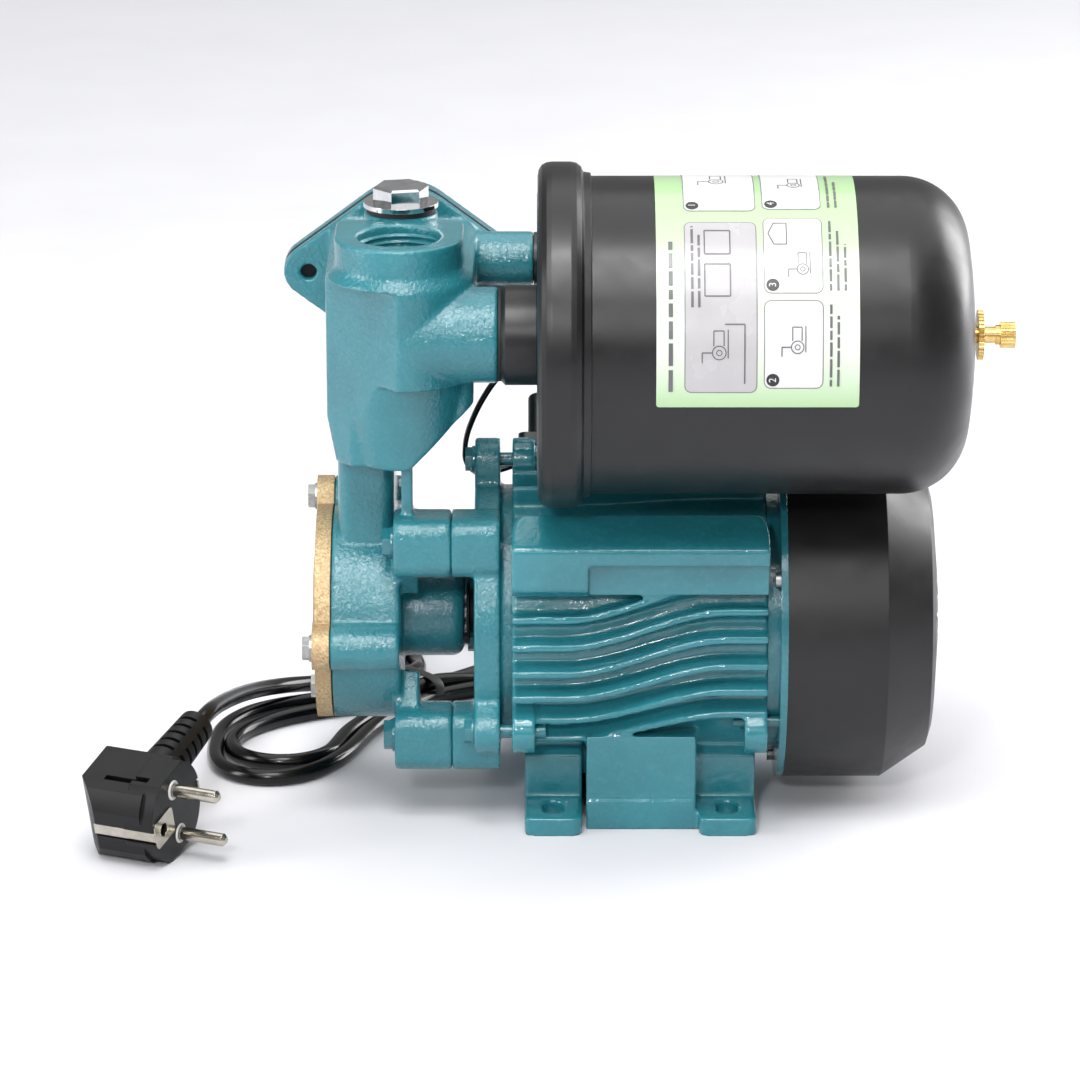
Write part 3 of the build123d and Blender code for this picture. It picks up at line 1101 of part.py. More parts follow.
def lid_screws():
    x0, x1 = BOX_X
    t = BOX_HALF_T
    top = BOX_BASE_H + BOX_LID_H
    parts = []
    for x in (x0 + 5, x1 - 5):
        for y in (5 - t, t - 5):
            head = rod_z(2.9, top - 1.4, top + 0.4, x, y) - Pos(x, y, top + 0.2) * Box(6.0, 0.8, 1.2)
            parts.append(on_seat(head + rod_z(1.45, 6.0, top - 1.4, x, y)))
    return compound(parts)


def terminal_block():
    """Three-way terminal strip with its screws."""
    block = box((6.0, 30.0), (-8.0, 2.0), (BOX_WALL, BOX_WALL + 9.0))
    for x in (10, 18, 26):
        block -= [rod_z(2.2, BOX_WALL + 6.5, BOX_WALL + 10, x, -3.0), rod_y(1.4, -9, 3, x, BOX_WALL + 4)]
    return on_seat(block)


def capacitor():
    """Run capacitor lying in the terminal box."""
    body = Pos(-14.0, -9.0, BOX_WALL + 8.4) * Rot(0, 90, 0) * Cylinder(8.4, 34.0)
    return on_seat(body)


def cable_gland():
    """Gland nut and the tapered rubber boot that keeps the cord from kinking."""
    t = BOX_HALF_T
    nut_end = t + GLAND_NUT_LEN
    end = nut_end + GLAND_BOOT_LEN
    outer = [(t, 6.6), (nut_end, 6.6), (nut_end, 5.6), (end, CORD_D / 2 + 0.9), (end, 0.0), (t, 0.0)]
    face = make_face(Polyline(*[Vector(GLAND_X + r, y, GLAND_N) for y, r in outer], close=True))
    axis = Axis((GLAND_X, 0, GLAND_N), (0, 1, 0))
    body = revolve(face, axis, 360)
    nut = Pos(GLAND_X, t + 2.0, GLAND_N) * Rot(-90, 0, 0) * extrude(RegularPolygon(15.0 / sqrt(3), 6), 5.0)
    bore = rod_y(CORD_D / 2, t - 1, end + 1, GLAND_X, GLAND_N)
    return on_seat(body + nut - bore)


# ================================================================ cords
def tube(points, diameter):
    """A round cord along straight runs joined by the widest arcs that the runs allow."""
    vectors = [Vector(*p) for p in points]
    radii = []
    for a, b, c in zip(vectors, vectors[1:], vectors[2:]):
        turn = radians((b - a).get_angle(c - b))
        run = min((b - a).length, (c - b).length)
        radii.append(0.45 * run / tan(turn / 2))
    print("bend radii, mm:", " ".join(f"{r:.0f}" for r in radii))
    path = FilletPolyline(*vectors, radius=radii)
    section = Plane(vectors[0], z_dir=vectors[1] - vectors[0]) * Circle(diameter / 2)
    return sweep(section, path=path)


def gland_point(depth):
    """A point on the gland's axis, this far from the box wall."""
    tilt = radians(BOX_TILT)
    n = BOX_SEAT + GLAND_N
    t = BOX_HALF_T + depth
    return (GLAND_X, n * sin(tilt) + t * cos(tilt), AXIS_H + n * cos(tilt) - t * sin(tilt))


def mains_lead():
    """The cord from the gland down to the ground and along it to the tied hank."""
    route = [gland_point(LEAD_START), gland_point(LEAD_STRAIGHT)]
    return tube(route + list(LEAD_ROUTE) + [HANK_LEAD_END + (CORD_D / 2,)], CORD_D)


def closed_curve(points):
    """A flat face on the ground inside a smooth closed curve."""
    return make_face(Spline(*[Vector(x, y, 0) for x, y in points], periodic=True))


def mains_hank():
    """Outer shape of the tied cord: open turns on the pump side and behind, and the tied waist."""
    body = extrude(closed_curve(HANK_FRONT), CORD_D) + extrude(closed_curve(HANK_BACK), CORD_D)
    length, width, height = HANK_TIE_SIZE
    waist = Pos(*HANK_TIE, height / 2) * Rot(0, 0, HANK_TIE_ANGLE) * Box(length, width, height)
    return body + fillet(waist.edges().filter_by(Axis.Z), 4.0)


def mains_tail():
    """The cord from the hank to the plug."""
    start = HANK_TAIL_START + (CORD_D / 2,)
    return tube((start,) + TAIL_ROUTE + (sleeve_end(14.0), sleeve_end(-3.0)), CORD_D)


def plug_place():
    """Where the plug lies: local +X along its pins, +Y along its cord, +Z from pin to pin."""
    return Pos(*PLUG_POS) * Rot(0, 0, PLUG_YAW) * Rot(PLUG_ROLL, 0, 0)


def sleeve_end(beyond):
    """A point on the axis of the plug's sleeve, beyond its open end."""
    local = Pos(-PLUG_DEPTH * 0.55, PLUG_R + SLEEVE_LEN + beyond, 0)
    point = (plug_place() * local).position
    return (point.X, point.Y, point.Z)


def sleeve_slots(x):
    """Five rows of cross slots that make the sleeve flexible, with four ribs left between them."""
    cuts = []
    for k in range(5):
        y = PLUG_R + 9.0 + 5.0 * k
        slot = Pos(x, y, 0) * Rot(90, 0, 0) * (Cylinder(10.0, SLOT_T) - Cylinder(SLEEVE_CORE_R, SLOT_T))
        for turn in (45, 135):
            slot -= Pos(x, y, 0) * Rot(0, turn, 0) * Box(24.0, SLOT_T + 1, 3.2)
        cuts.append(slot)
    return cuts


def plug_body():
    """Angled moulded plug: round face, flat sides with grip slots, and a ribbed sleeve for the cord."""
    face = rod_x(PLUG_R, -12.0, 0.0, 0, 0)
    face = face & box((-13, 1), (-PLUG_R, PLUG_R), (-16.5, 16.5))
    outline = [(-PLUG_DEPTH, -7.0), (-PLUG_DEPTH + 9, -PLUG_R + 0.6), (-5.0, -PLUG_R + 0.6),
               (-5.0, PLUG_R - 1.0), (-PLUG_DEPTH + 10, PLUG_R), (-PLUG_DEPTH, PLUG_R - 6)]
    side = make_face(Polyline(*[Vector(x, y, -15.0) for x, y in outline], close=True))
    shell = extrude(side, 30.0, dir=(0, 0, 1)) & rod_x(PLUG_R + 1.2, -PLUG_DEPTH - 1, 0, 0, 0)
    x = -PLUG_DEPTH * 0.55
    sleeve = Pos(x, PLUG_R + SLEEVE_LEN / 2 - 2, 0) * Rot(-90, 0, 0) * Cone(8.6, 6.8, SLEEVE_LEN + 4)
    grooves = [box((-26, 1), (-PLUG_R - 1, EARTH_SEAT - PLUG_R), (-2.6, 2.6)),
               box((-26, 1), (PLUG_R - EARTH_SEAT, PLUG_R + 1), (-2.6, 2.6)),
               box((-24, -6), (-7.0, -4.2), (12.5, 17)), box((-24, -6), (-7.0, -4.2), (-17, -12.5))]
    grip = [Pos(-PLUG_DEPTH + 3.4 + 1.5 * k, -PLUG_R + 6.6 - 1.8 * k, 0) * Rot(0, 0, -50) * Box(0.8, 1.8, 18)
            for k in range(4)]
    earth = rod_x(EARTH_HOLE_R, -12, 1, EARTH_HOLE_Y, 0)
    pins = [rod_x(PIN_D / 2, -10, 1, 0, side * PIN_SPACING / 2) for side in (-1, 1)]
    bore = Pos(x, PLUG_R + SLEEVE_LEN, 0) * Rot(-90, 0, 0) * Cylinder(CORD_D / 2, 8.0)
    body = (face + shell + (sleeve - sleeve_slots(x))) - grooves - grip - earth - pins - bore
    return plug_place() * body


def plug_pins():
    parts = []
    for side in (-1, 1):
        pin = rod_x(PIN_D / 2, -10, PIN_LEN - PIN_TIP, 0, side * PIN_SPACING / 2)
        nose = Cone(PIN_D / 2, PIN_D / 2 - PIN_TIP, PIN_TIP)
        tip = Pos(PIN_LEN - PIN_TIP / 2, 0, side * PIN_SPACING / 2) * Rot(0, 90, 0) * nose
        parts.append(plug_place() * (pin + tip))
    return compound(parts)


def plug_earth_clips():
    """The two side earth contacts; the one by the earth hole carries a plate on the plug's face."""
    inner, outer = PLUG_R - EARTH_SEAT, PLUG_R - EARTH_SEAT + 0.9
    strip = box((-25, 0.6), (inner, outer), (-2.1, 2.1))
    plate = box((0, 0.6), (-PLUG_R + 0.9, -3.6), (-5.4, 5.4))
    plate = fillet(plate.edges().filter_by(Axis.X), 2.0) - rod_x(EARTH_HOLE_R, -1, 1, EARTH_HOLE_Y, 0)
    return compound([plug_place() * (mirror(strip, about=Plane.XZ) + plate), plug_place() * strip])


def switch_lead():
    """The two insulated wires from the pressure switch to the terminal box."""
    parts = []
    exit_x = SWITCH_PORT_END + SWITCH_SLEEVE_LEN + SWITCH_BODY_LEN + WIRE_EXIT
    tilt = radians(BOX_TILT)
    n, t = BOX_SEAT + WIRE_ENTRY_N, WIRE_ENTRY_T
    entry = (BOX_X[0] + 3, n * sin(tilt) + t * cos(tilt), AXIS_H + n * cos(tilt) - t * sin(tilt))
    for side in (-1, 1):
        dy = side * (WIRE_D + WIRE_GAP) / 2
        start = (exit_x, SWITCH_Y + dy, SWITCH_Z - SWITCH_BODY_R + 4)
        route = [(x, y + dy, z) for x, y, z in WIRE_ROUTE]
        parts.append(tube([start] + route + [(entry[0], entry[1] + dy, entry[2])], WIRE_D))
    return compound(parts)


# ================================================================ write every node
NODES = {
    "pump_body": pump_body, "pump_cover": pump_cover, "cover_oring": cover_oring, "cover_bolts": cover_bolts,
    "impeller": impeller, "seal_head": seal_head, "seal_spring": seal_spring, "seal_seat": seal_seat,
    "slinger": slinger, "shaft": shaft, "rotor_core": rotor_core, "stator_core": stator_core,
    "windings": windings, "front_bracket": front_bracket, "arm_bolts": arm_bolts,
    "bracket_screws": bracket_screws, "motor_frame": motor_frame, "rear_shield": rear_shield,
    "shield_screws": shield_screws, "cooling_fan": cooling_fan, "fan_cover": fan_cover,
    "fan_cover_screws": fan_cover_screws, "terminal_box": terminal_box, "terminal_lid": terminal_lid,
    "lid_screws": lid_screws, "terminal_block": terminal_block, "capacitor": capacitor,
    "cable_gland": cable_gland, "mains_lead": mains_lead, "mains_hank": mains_hank,
    "mains_tail": mains_tail, "plug_body": plug_body, "plug_pins": plug_pins,
    "plug_earth_clips": plug_earth_clips, "switch_lead": switch_lead, "switch_body": switch_body,
    "switch_cover": switch_cover, "switch_plunger": switch_plunger, "switch_spring": switch_spring,
    "tank_front_shell": tank_front_shell, "tank_rear_shell": tank_rear_shell,
    "tank_clamp_ring": tank_clamp_ring, "tank_diaphragm": tank_diaphragm, "tank_nipple": tank_nipple,
    "tank_gasket": tank_gasket, "valve_stem": valve_stem, "valve_core": valve_core,
    "valve_cap": valve_cap, "filler_plug": filler_plug, "filler_washer": filler_washer,
    "suction_flange": suction_flange, "flange_gasket": flange_gasket, "flange_bolts": flange_bolts,
    "check_flap": check_flap,
}

os.makedirs("parts", exist_ok=True)
for node, build in NODES.items():
    write(node, build())
for place, x0 in (("front", FRONT_BEARING_X), ("rear", REAR_BEARING_X)):
    write(place + "_bearing_outer", bearing_outer(x0))
    write(place + "_bearing_inner", bearing_inner(x0))
    write(place + "_bearing_balls", bearing_balls(x0))
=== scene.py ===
"""Looks of a self-priming water pump with its tank, pressure switch and mains cord.

Metres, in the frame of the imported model: +X runs along the motor shaft towards the fan cover,
+Y towards the suction side, +Z is up, and the ground is z = 0.
"""
import math

import bpy
import numpy as np
from mathutils import Matrix, Vector


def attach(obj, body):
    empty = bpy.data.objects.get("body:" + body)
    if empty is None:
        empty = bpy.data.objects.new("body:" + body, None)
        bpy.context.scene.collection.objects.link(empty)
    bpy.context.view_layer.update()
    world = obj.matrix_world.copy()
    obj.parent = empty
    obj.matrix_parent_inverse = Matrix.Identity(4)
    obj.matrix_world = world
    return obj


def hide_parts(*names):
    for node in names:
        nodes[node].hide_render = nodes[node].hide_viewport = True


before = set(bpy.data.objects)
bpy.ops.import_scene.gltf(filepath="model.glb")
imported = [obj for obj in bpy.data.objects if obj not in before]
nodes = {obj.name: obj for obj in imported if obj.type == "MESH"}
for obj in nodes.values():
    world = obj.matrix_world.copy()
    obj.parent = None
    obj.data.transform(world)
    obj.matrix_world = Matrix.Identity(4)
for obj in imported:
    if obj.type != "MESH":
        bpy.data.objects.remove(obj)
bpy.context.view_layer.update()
MM = 0.001
TANK_Y, TANK_Z, TANK_R = -42.0, 187.4, 57.5
PORT_X, OUTLET_Y, OUTLET_Z = -88.4, -32.0, 221.9


# ---------------------------------------------------------------- small tools
def linear(code):
    """An sRGB hex colour as linear red, green, blue and an alpha of 1."""
    part = np.array([int(code[i:i + 2], 16) for i in (1, 3, 5)]) / 255
    out = np.where(part <= 0.04045, part / 12.92, ((part + 0.055) / 1.055) ** 2.4)
    return (*out.tolist(), 1.0)


def add(tree, kind, inputs=None, **settings):
    """Adds a node; an input takes a plain value or another node's output."""
    made = tree.nodes.new(kind)
    for key, value in settings.items():
        setattr(made, key, value)
    for key, value in (inputs or {}).items():
        if isinstance(value, bpy.types.NodeSocket):
            tree.links.new(value, made.inputs[key])
        else:
            made.inputs[key].default_value = value
    return made


def start(name, **even):
    """A material whose even values sit on the shader: its tree, shader and Object coordinates."""
    material = bpy.data.materials.new(name)
    material.use_nodes = True
    tree = material.node_tree
    tree.nodes.clear()
    shader = add(tree, "ShaderNodeBsdfPrincipled", {k.replace("_", " "): v for k, v in even.items()})
    add(tree, "ShaderNodeOutputMaterial", {"Surface": shader.outputs["BSDF"]})
    return material, tree, shader, add(tree, "ShaderNodeTexCoord").outputs["Object"]


def grain(tree, place, size_mm, detail=2.0, rough=0.5, warp=0.0):
    """Noise whose features are about size_mm across."""
    made = add(tree, "ShaderNodeTexNoise", {"Vector": place, "Scale": 1000 / size_mm, "Detail": detail,
                                            "Roughness": rough, "Distortion": warp})
    return made.outputs["Fac"]


def waves(tree, place, pitch_mm, direction, distortion):
    """Parallel sine bands; a smaller pitch makes them finer."""
    made = add(tree, "ShaderNodeTexWave", {"Vector": place, "Scale": 1000 / pitch_mm / 6.283,
                                           "Distortion": distortion}, bands_direction=direction)
    return made.outputs["Fac"]


def ramp(tree, value, low, high, to_low=0.0, to_high=1.0):
    """Spreads a value between low and high over a new range, clamped."""
    made = add(tree, "ShaderNodeMapRange", {"Value": value, "From Min": low, "From Max": high,
                                            "To Min": to_low, "To Max": to_high})
    return made.outputs["Result"]


def two_tone(tree, factor, first, second):
    """A colour between two hex colours."""
    made = add(tree, "ShaderNodeMix", {0: factor, 6: linear(first), 7: linear(second)}, data_type="RGBA")
    return made.outputs[2]


def bump(tree, height, depth_mm, normal=None):
    """Raises the surface by depth_mm where height is 1."""
    made = add(tree, "ShaderNodeBump", {"Height": height, "Distance": depth_mm * MM, "Strength": 1.0})
    if normal is not None:
        tree.links.new(normal, made.inputs["Normal"])
    return made.outputs["Normal"]


def soft_edge(tree, radius_mm):
    """Normals that roll over sharp edges, as on a tumbled, painted or moulded part."""
    return add(tree, "ShaderNodeBevel", {"Radius": radius_mm * MM}, samples=4).outputs["Normal"]


# ---------------------------------------------------------------- materials
def sprayed_enamel(name, body, deep, pebble_mm, pebble_depth, edge_mm=0.0):
    """Glossy sprayed enamel over a sand-cast skin: pebbly grain, orange peel and hard small glints, partly
    painted as a paler teal on the grain's peaks.
    """
    material, tree, shader, place = start(name, IOR=1.5, Coat_Weight=0.5, Coat_Roughness=0.05)
    drift = ramp(tree, grain(tree, place, 30, 3), 0.35, 0.68)
    tone = two_tone(tree, drift, deep, body)
    pebble = grain(tree, place, pebble_mm, 3, 0.55, 0.4)
    # Painted glints: a little paler teal is mixed onto the peaks of the pebble grain, standing in for the
    # enamel's sparkle.
    painted_glints = add(tree, "ShaderNodeMix", {0: ramp(tree, pebble, 0.5, 0.8, 0.0, 0.12), 6: tone,
                                       7: linear("#5fa9b1")}, data_type="RGBA")
    tree.links.new(painted_glints.outputs[2], shader.inputs["Base Color"])
    rough = ramp(tree, grain(tree, place, 8, 3), 0.3, 0.7, 0.12, 0.26)
    tree.links.new(rough, shader.inputs["Roughness"])
    normal = soft_edge(tree, edge_mm) if edge_mm else None
    normal = bump(tree, grain(tree, place, 9.0, 2), 0.35, normal)
    normal = bump(tree, pebble, pebble_depth, normal)
    normal = bump(tree, grain(tree, place, 0.8, 2), 0.05, normal)
    tree.links.new(normal, shader.inputs["Normal"])
    tree.links.new(normal, shader.inputs["Coat Normal"])
    return material


def powder_coat(name, body, deep, rough_low, rough_high):
    """Smooth satin black powder coat on deep-drawn steel: broad soft highlights, very fine orange peel."""
    material, tree, shader, place = start(name, IOR=1.5)
    colour = two_tone(tree, grain(tree, place, 26, 3), deep, body)
    tree.links.new(colour, shader.inputs["Base Color"])
    rough = ramp(tree, grain(tree, place, 12, 4), 0.3, 0.7, rough_low, rough_high)
    tree.links.new(rough, shader.inputs["Roughness"])
    normal = bump(tree, grain(tree, place, 1.4, 2), 0.012, soft_edge(tree, 0.6))
    tree.links.new(normal, shader.inputs["Normal"])
    return material


def cast_brass(name):
    """Unpolished sand-cast brass: a tan, granular skin with bright grains and dull brown hollows."""
    material, tree, shader, place = start(name, Metallic=0.65)
    fine = grain(tree, place, 0.9, 4, 0.7)
    colour = two_tone(tree, ramp(tree, fine, 0.32, 0.66), "#9c7f58", "#d9c39b")
    stain = ramp(tree, grain(tree, place, 11, 4, 0.6), 0.42, 0.75, 0.0, 0.8)
    mixed = add(tree, "ShaderNodeMix", {0: stain, 6: colour, 7: linear("#b39876")}, data_type="RGBA")
    tree.links.new(mixed.outputs[2], shader.inputs["Base Color"])
    tree.links.new(ramp(tree, fine, 0.3, 0.7, 0.68, 0.42), shader.inputs["Roughness"])
    normal = bump(tree, grain(tree, place, 1.3, 4, 0.7), 0.22, soft_edge(tree, 0.7))
    tree.links.new(normal, shader.inputs["Normal"])
    return material


def turned_metal(name, first, second, rough, pitch_mm, axis="X", metallic=1.0):
    """Metal turned on a lathe: fine rings along its axis and a slight unevenness in its colour."""
    material, tree, shader, place = start(name, Metallic=metallic)
    colour = two_tone(tree, ramp(tree, grain(tree, place, 5, 4), 0.3, 0.7), first, second)
    tree.links.new(colour, shader.inputs["Base Color"])
    rings = waves(tree, place, pitch_mm, axis, 0.4)
    tree.links.new(ramp(tree, rings, 0, 1, rough * 0.8, rough * 1.3), shader.inputs["Roughness"])
    normal = bump(tree, rings, 0.008, soft_edge(tree, 0.15))
    tree.links.new(normal, shader.inputs["Normal"])
    return material


def plated_metal(name, first, second, rough_low, rough_high, dull=0.02):
    """Zinc, nickel or chrome plating: cloudy in its gloss, with handling marks too fine to read singly."""
    material, tree, shader, place = start(name, Metallic=1.0)
    cloud = grain(tree, place, 4.5, 4, 0.6)
    tree.links.new(two_tone(tree, ramp(tree, cloud, 0.3, 0.7), first, second), shader.inputs["Base Color"])
    tree.links.new(ramp(tree, cloud, 0.3, 0.7, rough_low, rough_high), shader.inputs["Roughness"])
    normal = bump(tree, grain(tree, place, 0.8, 3), dull, soft_edge(tree, 0.25))
    tree.links.new(normal, shader.inputs["Normal"])
    return material


def moulded(name, first, second, rough_low, rough_high, texture_mm=0.5, depth_mm=0.02, edge_mm=0.4,
            gloss=0.5):
    """Moulded plastic or rubber: spark-eroded texture and a faint flow pattern in the gloss."""
    material, tree, shader, place = start(name, Specular_IOR_Level=gloss)
    flow = grain(tree, place, 14, 3)
    tree.links.new(two_tone(tree, flow, first, second), shader.inputs["Base Color"])
    tree.links.new(ramp(tree, flow, 0.3, 0.7, rough_low, rough_high), shader.inputs["Roughness"])
    normal = bump(tree, grain(tree, place, texture_mm, 2), depth_mm, soft_edge(tree, edge_mm))
    tree.links.new(normal, shader.inputs["Normal"])
    return material


def laminations(name):
    """Stacked electrical steel: half-millimetre sheets edge on, with a trace of varnish."""
    material, tree, shader, place = start(name, Metallic=0.8, Roughness=0.45)
    sheets = waves(tree, place, 1.0, "X", 0.1)
    tree.links.new(two_tone(tree, sheets, "#4d4b49", "#8b8883"), shader.inputs["Base Color"])
    tree.links.new(bump(tree, sheets, 0.05), shader.inputs["Normal"])
    return material


def copper_wire(name):
    """Bundled enamelled copper wire: red-brown strands under amber varnish."""
    material, tree, shader, place = start(name, Metallic=0.7, Roughness=0.3, Coat_Weight=0.5,
                                          Coat_Roughness=0.15)
    strands = waves(tree, place, 0.9, "DIAGONAL", 3.0)
    tree.links.new(two_tone(tree, strands, "#6b2f16", "#c2703a"), shader.inputs["Base Color"])
    tree.links.new(bump(tree, strands, 0.25), shader.inputs["Normal"])
    return material


TEAL = sprayed_enamel("enamel_on_sand_casting", "#297b86", "#216f7a", 1.4, 0.40)
TEAL_FRAME = sprayed_enamel("enamel_on_die_casting", "#297b86", "#22707b", 2.2, 0.10)
TEAL_SMALL = sprayed_enamel("enamel_on_steel", "#25737e", "#1e6671", 1.8, 0.14, 0.5)
BLACK = powder_coat("powder_coat_black", "#0f0f11", "#0a0a0b", 0.30, 0.42)
COVER_BLACK = powder_coat("powder_coat_black_fan_cover", "#121213", "#0c0c0d", 0.36, 0.48)
CAST_BRASS = cast_brass("brass_sand_cast")
BRASS = turned_metal("brass_turned", "#caa35c", "#e6c987", 0.22, 0.3)
STEEL = turned_metal("steel_ground", "#8f9194", "#b2b4b6", 0.22, 0.25)
ZINC = plated_metal("zinc_plated_steel", "#8f9190", "#b9bab6", 0.22, 0.42)
CHROME = plated_metal("chrome_plated_steel", "#c9cacc", "#dedfe0", 0.05, 0.16, 0.006)
NICKEL = plated_metal("nickel_plated_brass", "#b3ada0", "#cbc6ba", 0.12, 0.26, 0.006)
RUBBER = moulded("rubber_black", "#131313", "#1b1a1a", 0.55, 0.75, 0.8, 0.03, 0.3)
CORD_JACKET = moulded("cord_rubber_black", "#040405", "#080809", 0.14, 0.24, 0.7, 0.006, 0.1, 0.35)
PLUG_BLACK = moulded("plug_moulded_black", "#070708", "#0c0c0e", 0.34, 0.48, 0.45, 0.02, 0.5, 0.35)
BOX_BLACK = moulded("abs_satin_black", "#151516", "#1d1d1f", 0.3, 0.42, 0.6, 0.02, 0.5)
NYLON = moulded("nylon_black", "#191919", "#232323", 0.45, 0.6, 0.6, 0.02, 0.4)
BLACK_OXIDE = plated_metal("black_oxide_steel", "#1d1d1f", "#2b2b2d", 0.35, 0.5)
IVORY = moulded("nylon_ivory", "#d9d4c2", "#e4e0d2", 0.4, 0.55, 0.6, 0.02, 0.4)
CAN_WHITE = moulded("capacitor_can_white", "#d3d2cc", "#e0dfda", 0.3, 0.4, 0.8, 0.01, 0.4)
COLLAR_GREY = moulded("collar_pale_grey", "#c9c7c6", "#d6d4d3", 0.35, 0.5, 0.5, 0.01, 0.2)
CERAMIC = moulded("ceramic_ground", "#e2ded4", "#efece6", 0.18, 0.28, 0.6, 0.004, 0.2, 0.8)
LAMINATION = laminations("electrical_steel_stack")
COPPER = copper_wire("copper_varnished")

FINISHES = {
    TEAL: ["pump_body", "front_bracket", "suction_flange"],
    TEAL_FRAME: ["motor_frame"],
    TEAL_SMALL: ["rear_shield", "arm_bolts", "bracket_screws", "shield_screws"],
    BLACK: ["tank_front_shell", "tank_rear_shell", "tank_clamp_ring", "tank_nipple"],
    COVER_BLACK: ["fan_cover"],
    CAST_BRASS: ["pump_cover"],
    BRASS: ["impeller", "valve_stem", "valve_core", "valve_cap", "switch_plunger"],
    STEEL: ["shaft", "seal_spring", "switch_spring", "front_bearing_outer", "front_bearing_inner",
            "front_bearing_balls", "rear_bearing_outer", "rear_bearing_inner", "rear_bearing_balls"],
    ZINC: ["cover_bolts", "fan_cover_screws", "lid_screws"],
    BLACK_OXIDE: ["flange_bolts"],
    CHROME: ["filler_plug"],
    NICKEL: ["plug_pins", "plug_earth_clips"],
    RUBBER: ["cover_oring", "seal_head", "slinger", "tank_diaphragm", "tank_gasket", "filler_washer",
             "flange_gasket", "check_flap", "cable_gland"],
    CORD_JACKET: ["switch_lead"],
    PLUG_BLACK: ["plug_body"],
    BOX_BLACK: ["terminal_box", "terminal_lid", "switch_body", "switch_cover"],
    NYLON: ["cooling_fan"],
    IVORY: ["terminal_block"],
    CAN_WHITE: ["capacitor"],
    CERAMIC: ["seal_seat"],
    LAMINATION: ["stator_core", "rotor_core"],
    COPPER: ["windings"],
}
for material, names in FINISHES.items():
    for name in names:
        nodes[name].data.materials.clear()
        nodes[name].data.materials.append(material)


# ---------------------------------------------------------------- meshes from arrays
def mesh_object(name, points, faces, material, smooth=True):
    """An object at the origin whose mesh has these points, in millimetres, and faces."""
    mesh = bpy.data.meshes.new(name)
    mesh.from_pydata((np.asarray(points, float) * MM).tolist(), [], [list(map(int, f)) for f in faces])
    mesh.polygons.foreach_set("use_smooth", np.full(len(mesh.polygons), smooth))
    mesh.materials.append(material)
    mesh.update()
    made = bpy.data.objects.new(name, mesh)
    bpy.context.scene.collection.objects.link(made)
    return made


def grid_faces(rows, columns, close_rows=False, close_columns=False):
    """Quads over a grid of points stored row by row; either direction may close on itself."""
    r = np.arange(rows if close_rows else rows - 1)
    c = np.arange(columns if close_columns else columns - 1)
    r, c = np.meshgrid(r, c, indexing="ij")
    r1, c1 = (r + 1) % rows, (c + 1) % columns
    quads = np.stack([r * columns + c, r * columns + c1, r1 * columns + c1, r1 * columns + c], -1)
    return quads.reshape(-1, 4)


def soft_casting(node, material, voxel_mm, rounds, keep):
    """A casting's skin: the CAD solid remeshed on a fine grid, then relaxed, so that every edge and
    inner corner rolls over as it does on a sand casting. It stands for the sharp CAD node."""
    mesh = nodes[node].data.copy()
    made = bpy.data.objects.new(node + "_skin", mesh)
    bpy.context.scene.collection.objects.link(made)
    weld = made.modifiers.new("weld", "WELD")
    weld.merge_threshold = 0.00001
    remesh = made.modifiers.new("grid", "REMESH")
    remesh.mode = "VOXEL"
    remesh.voxel_size = voxel_mm * MM
    relax = made.modifiers.new("relax", "SMOOTH")
    relax.iterations = rounds
    relax.factor = 0.5
    thin = made.modifiers.new("thin", "DECIMATE")
    thin.ratio = keep
    graph = bpy.context.evaluated_depsgraph_get()
    final = bpy.data.meshes.new_from_object(made.evaluated_get(graph))
    made.modifiers.clear()
    made.data = final
    final.polygons.foreach_set("use_smooth", np.ones(len(final.polygons), bool))
    final.materials.clear()
    final.materials.append(material)
    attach(made, "pump")
    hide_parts(node)
    return made


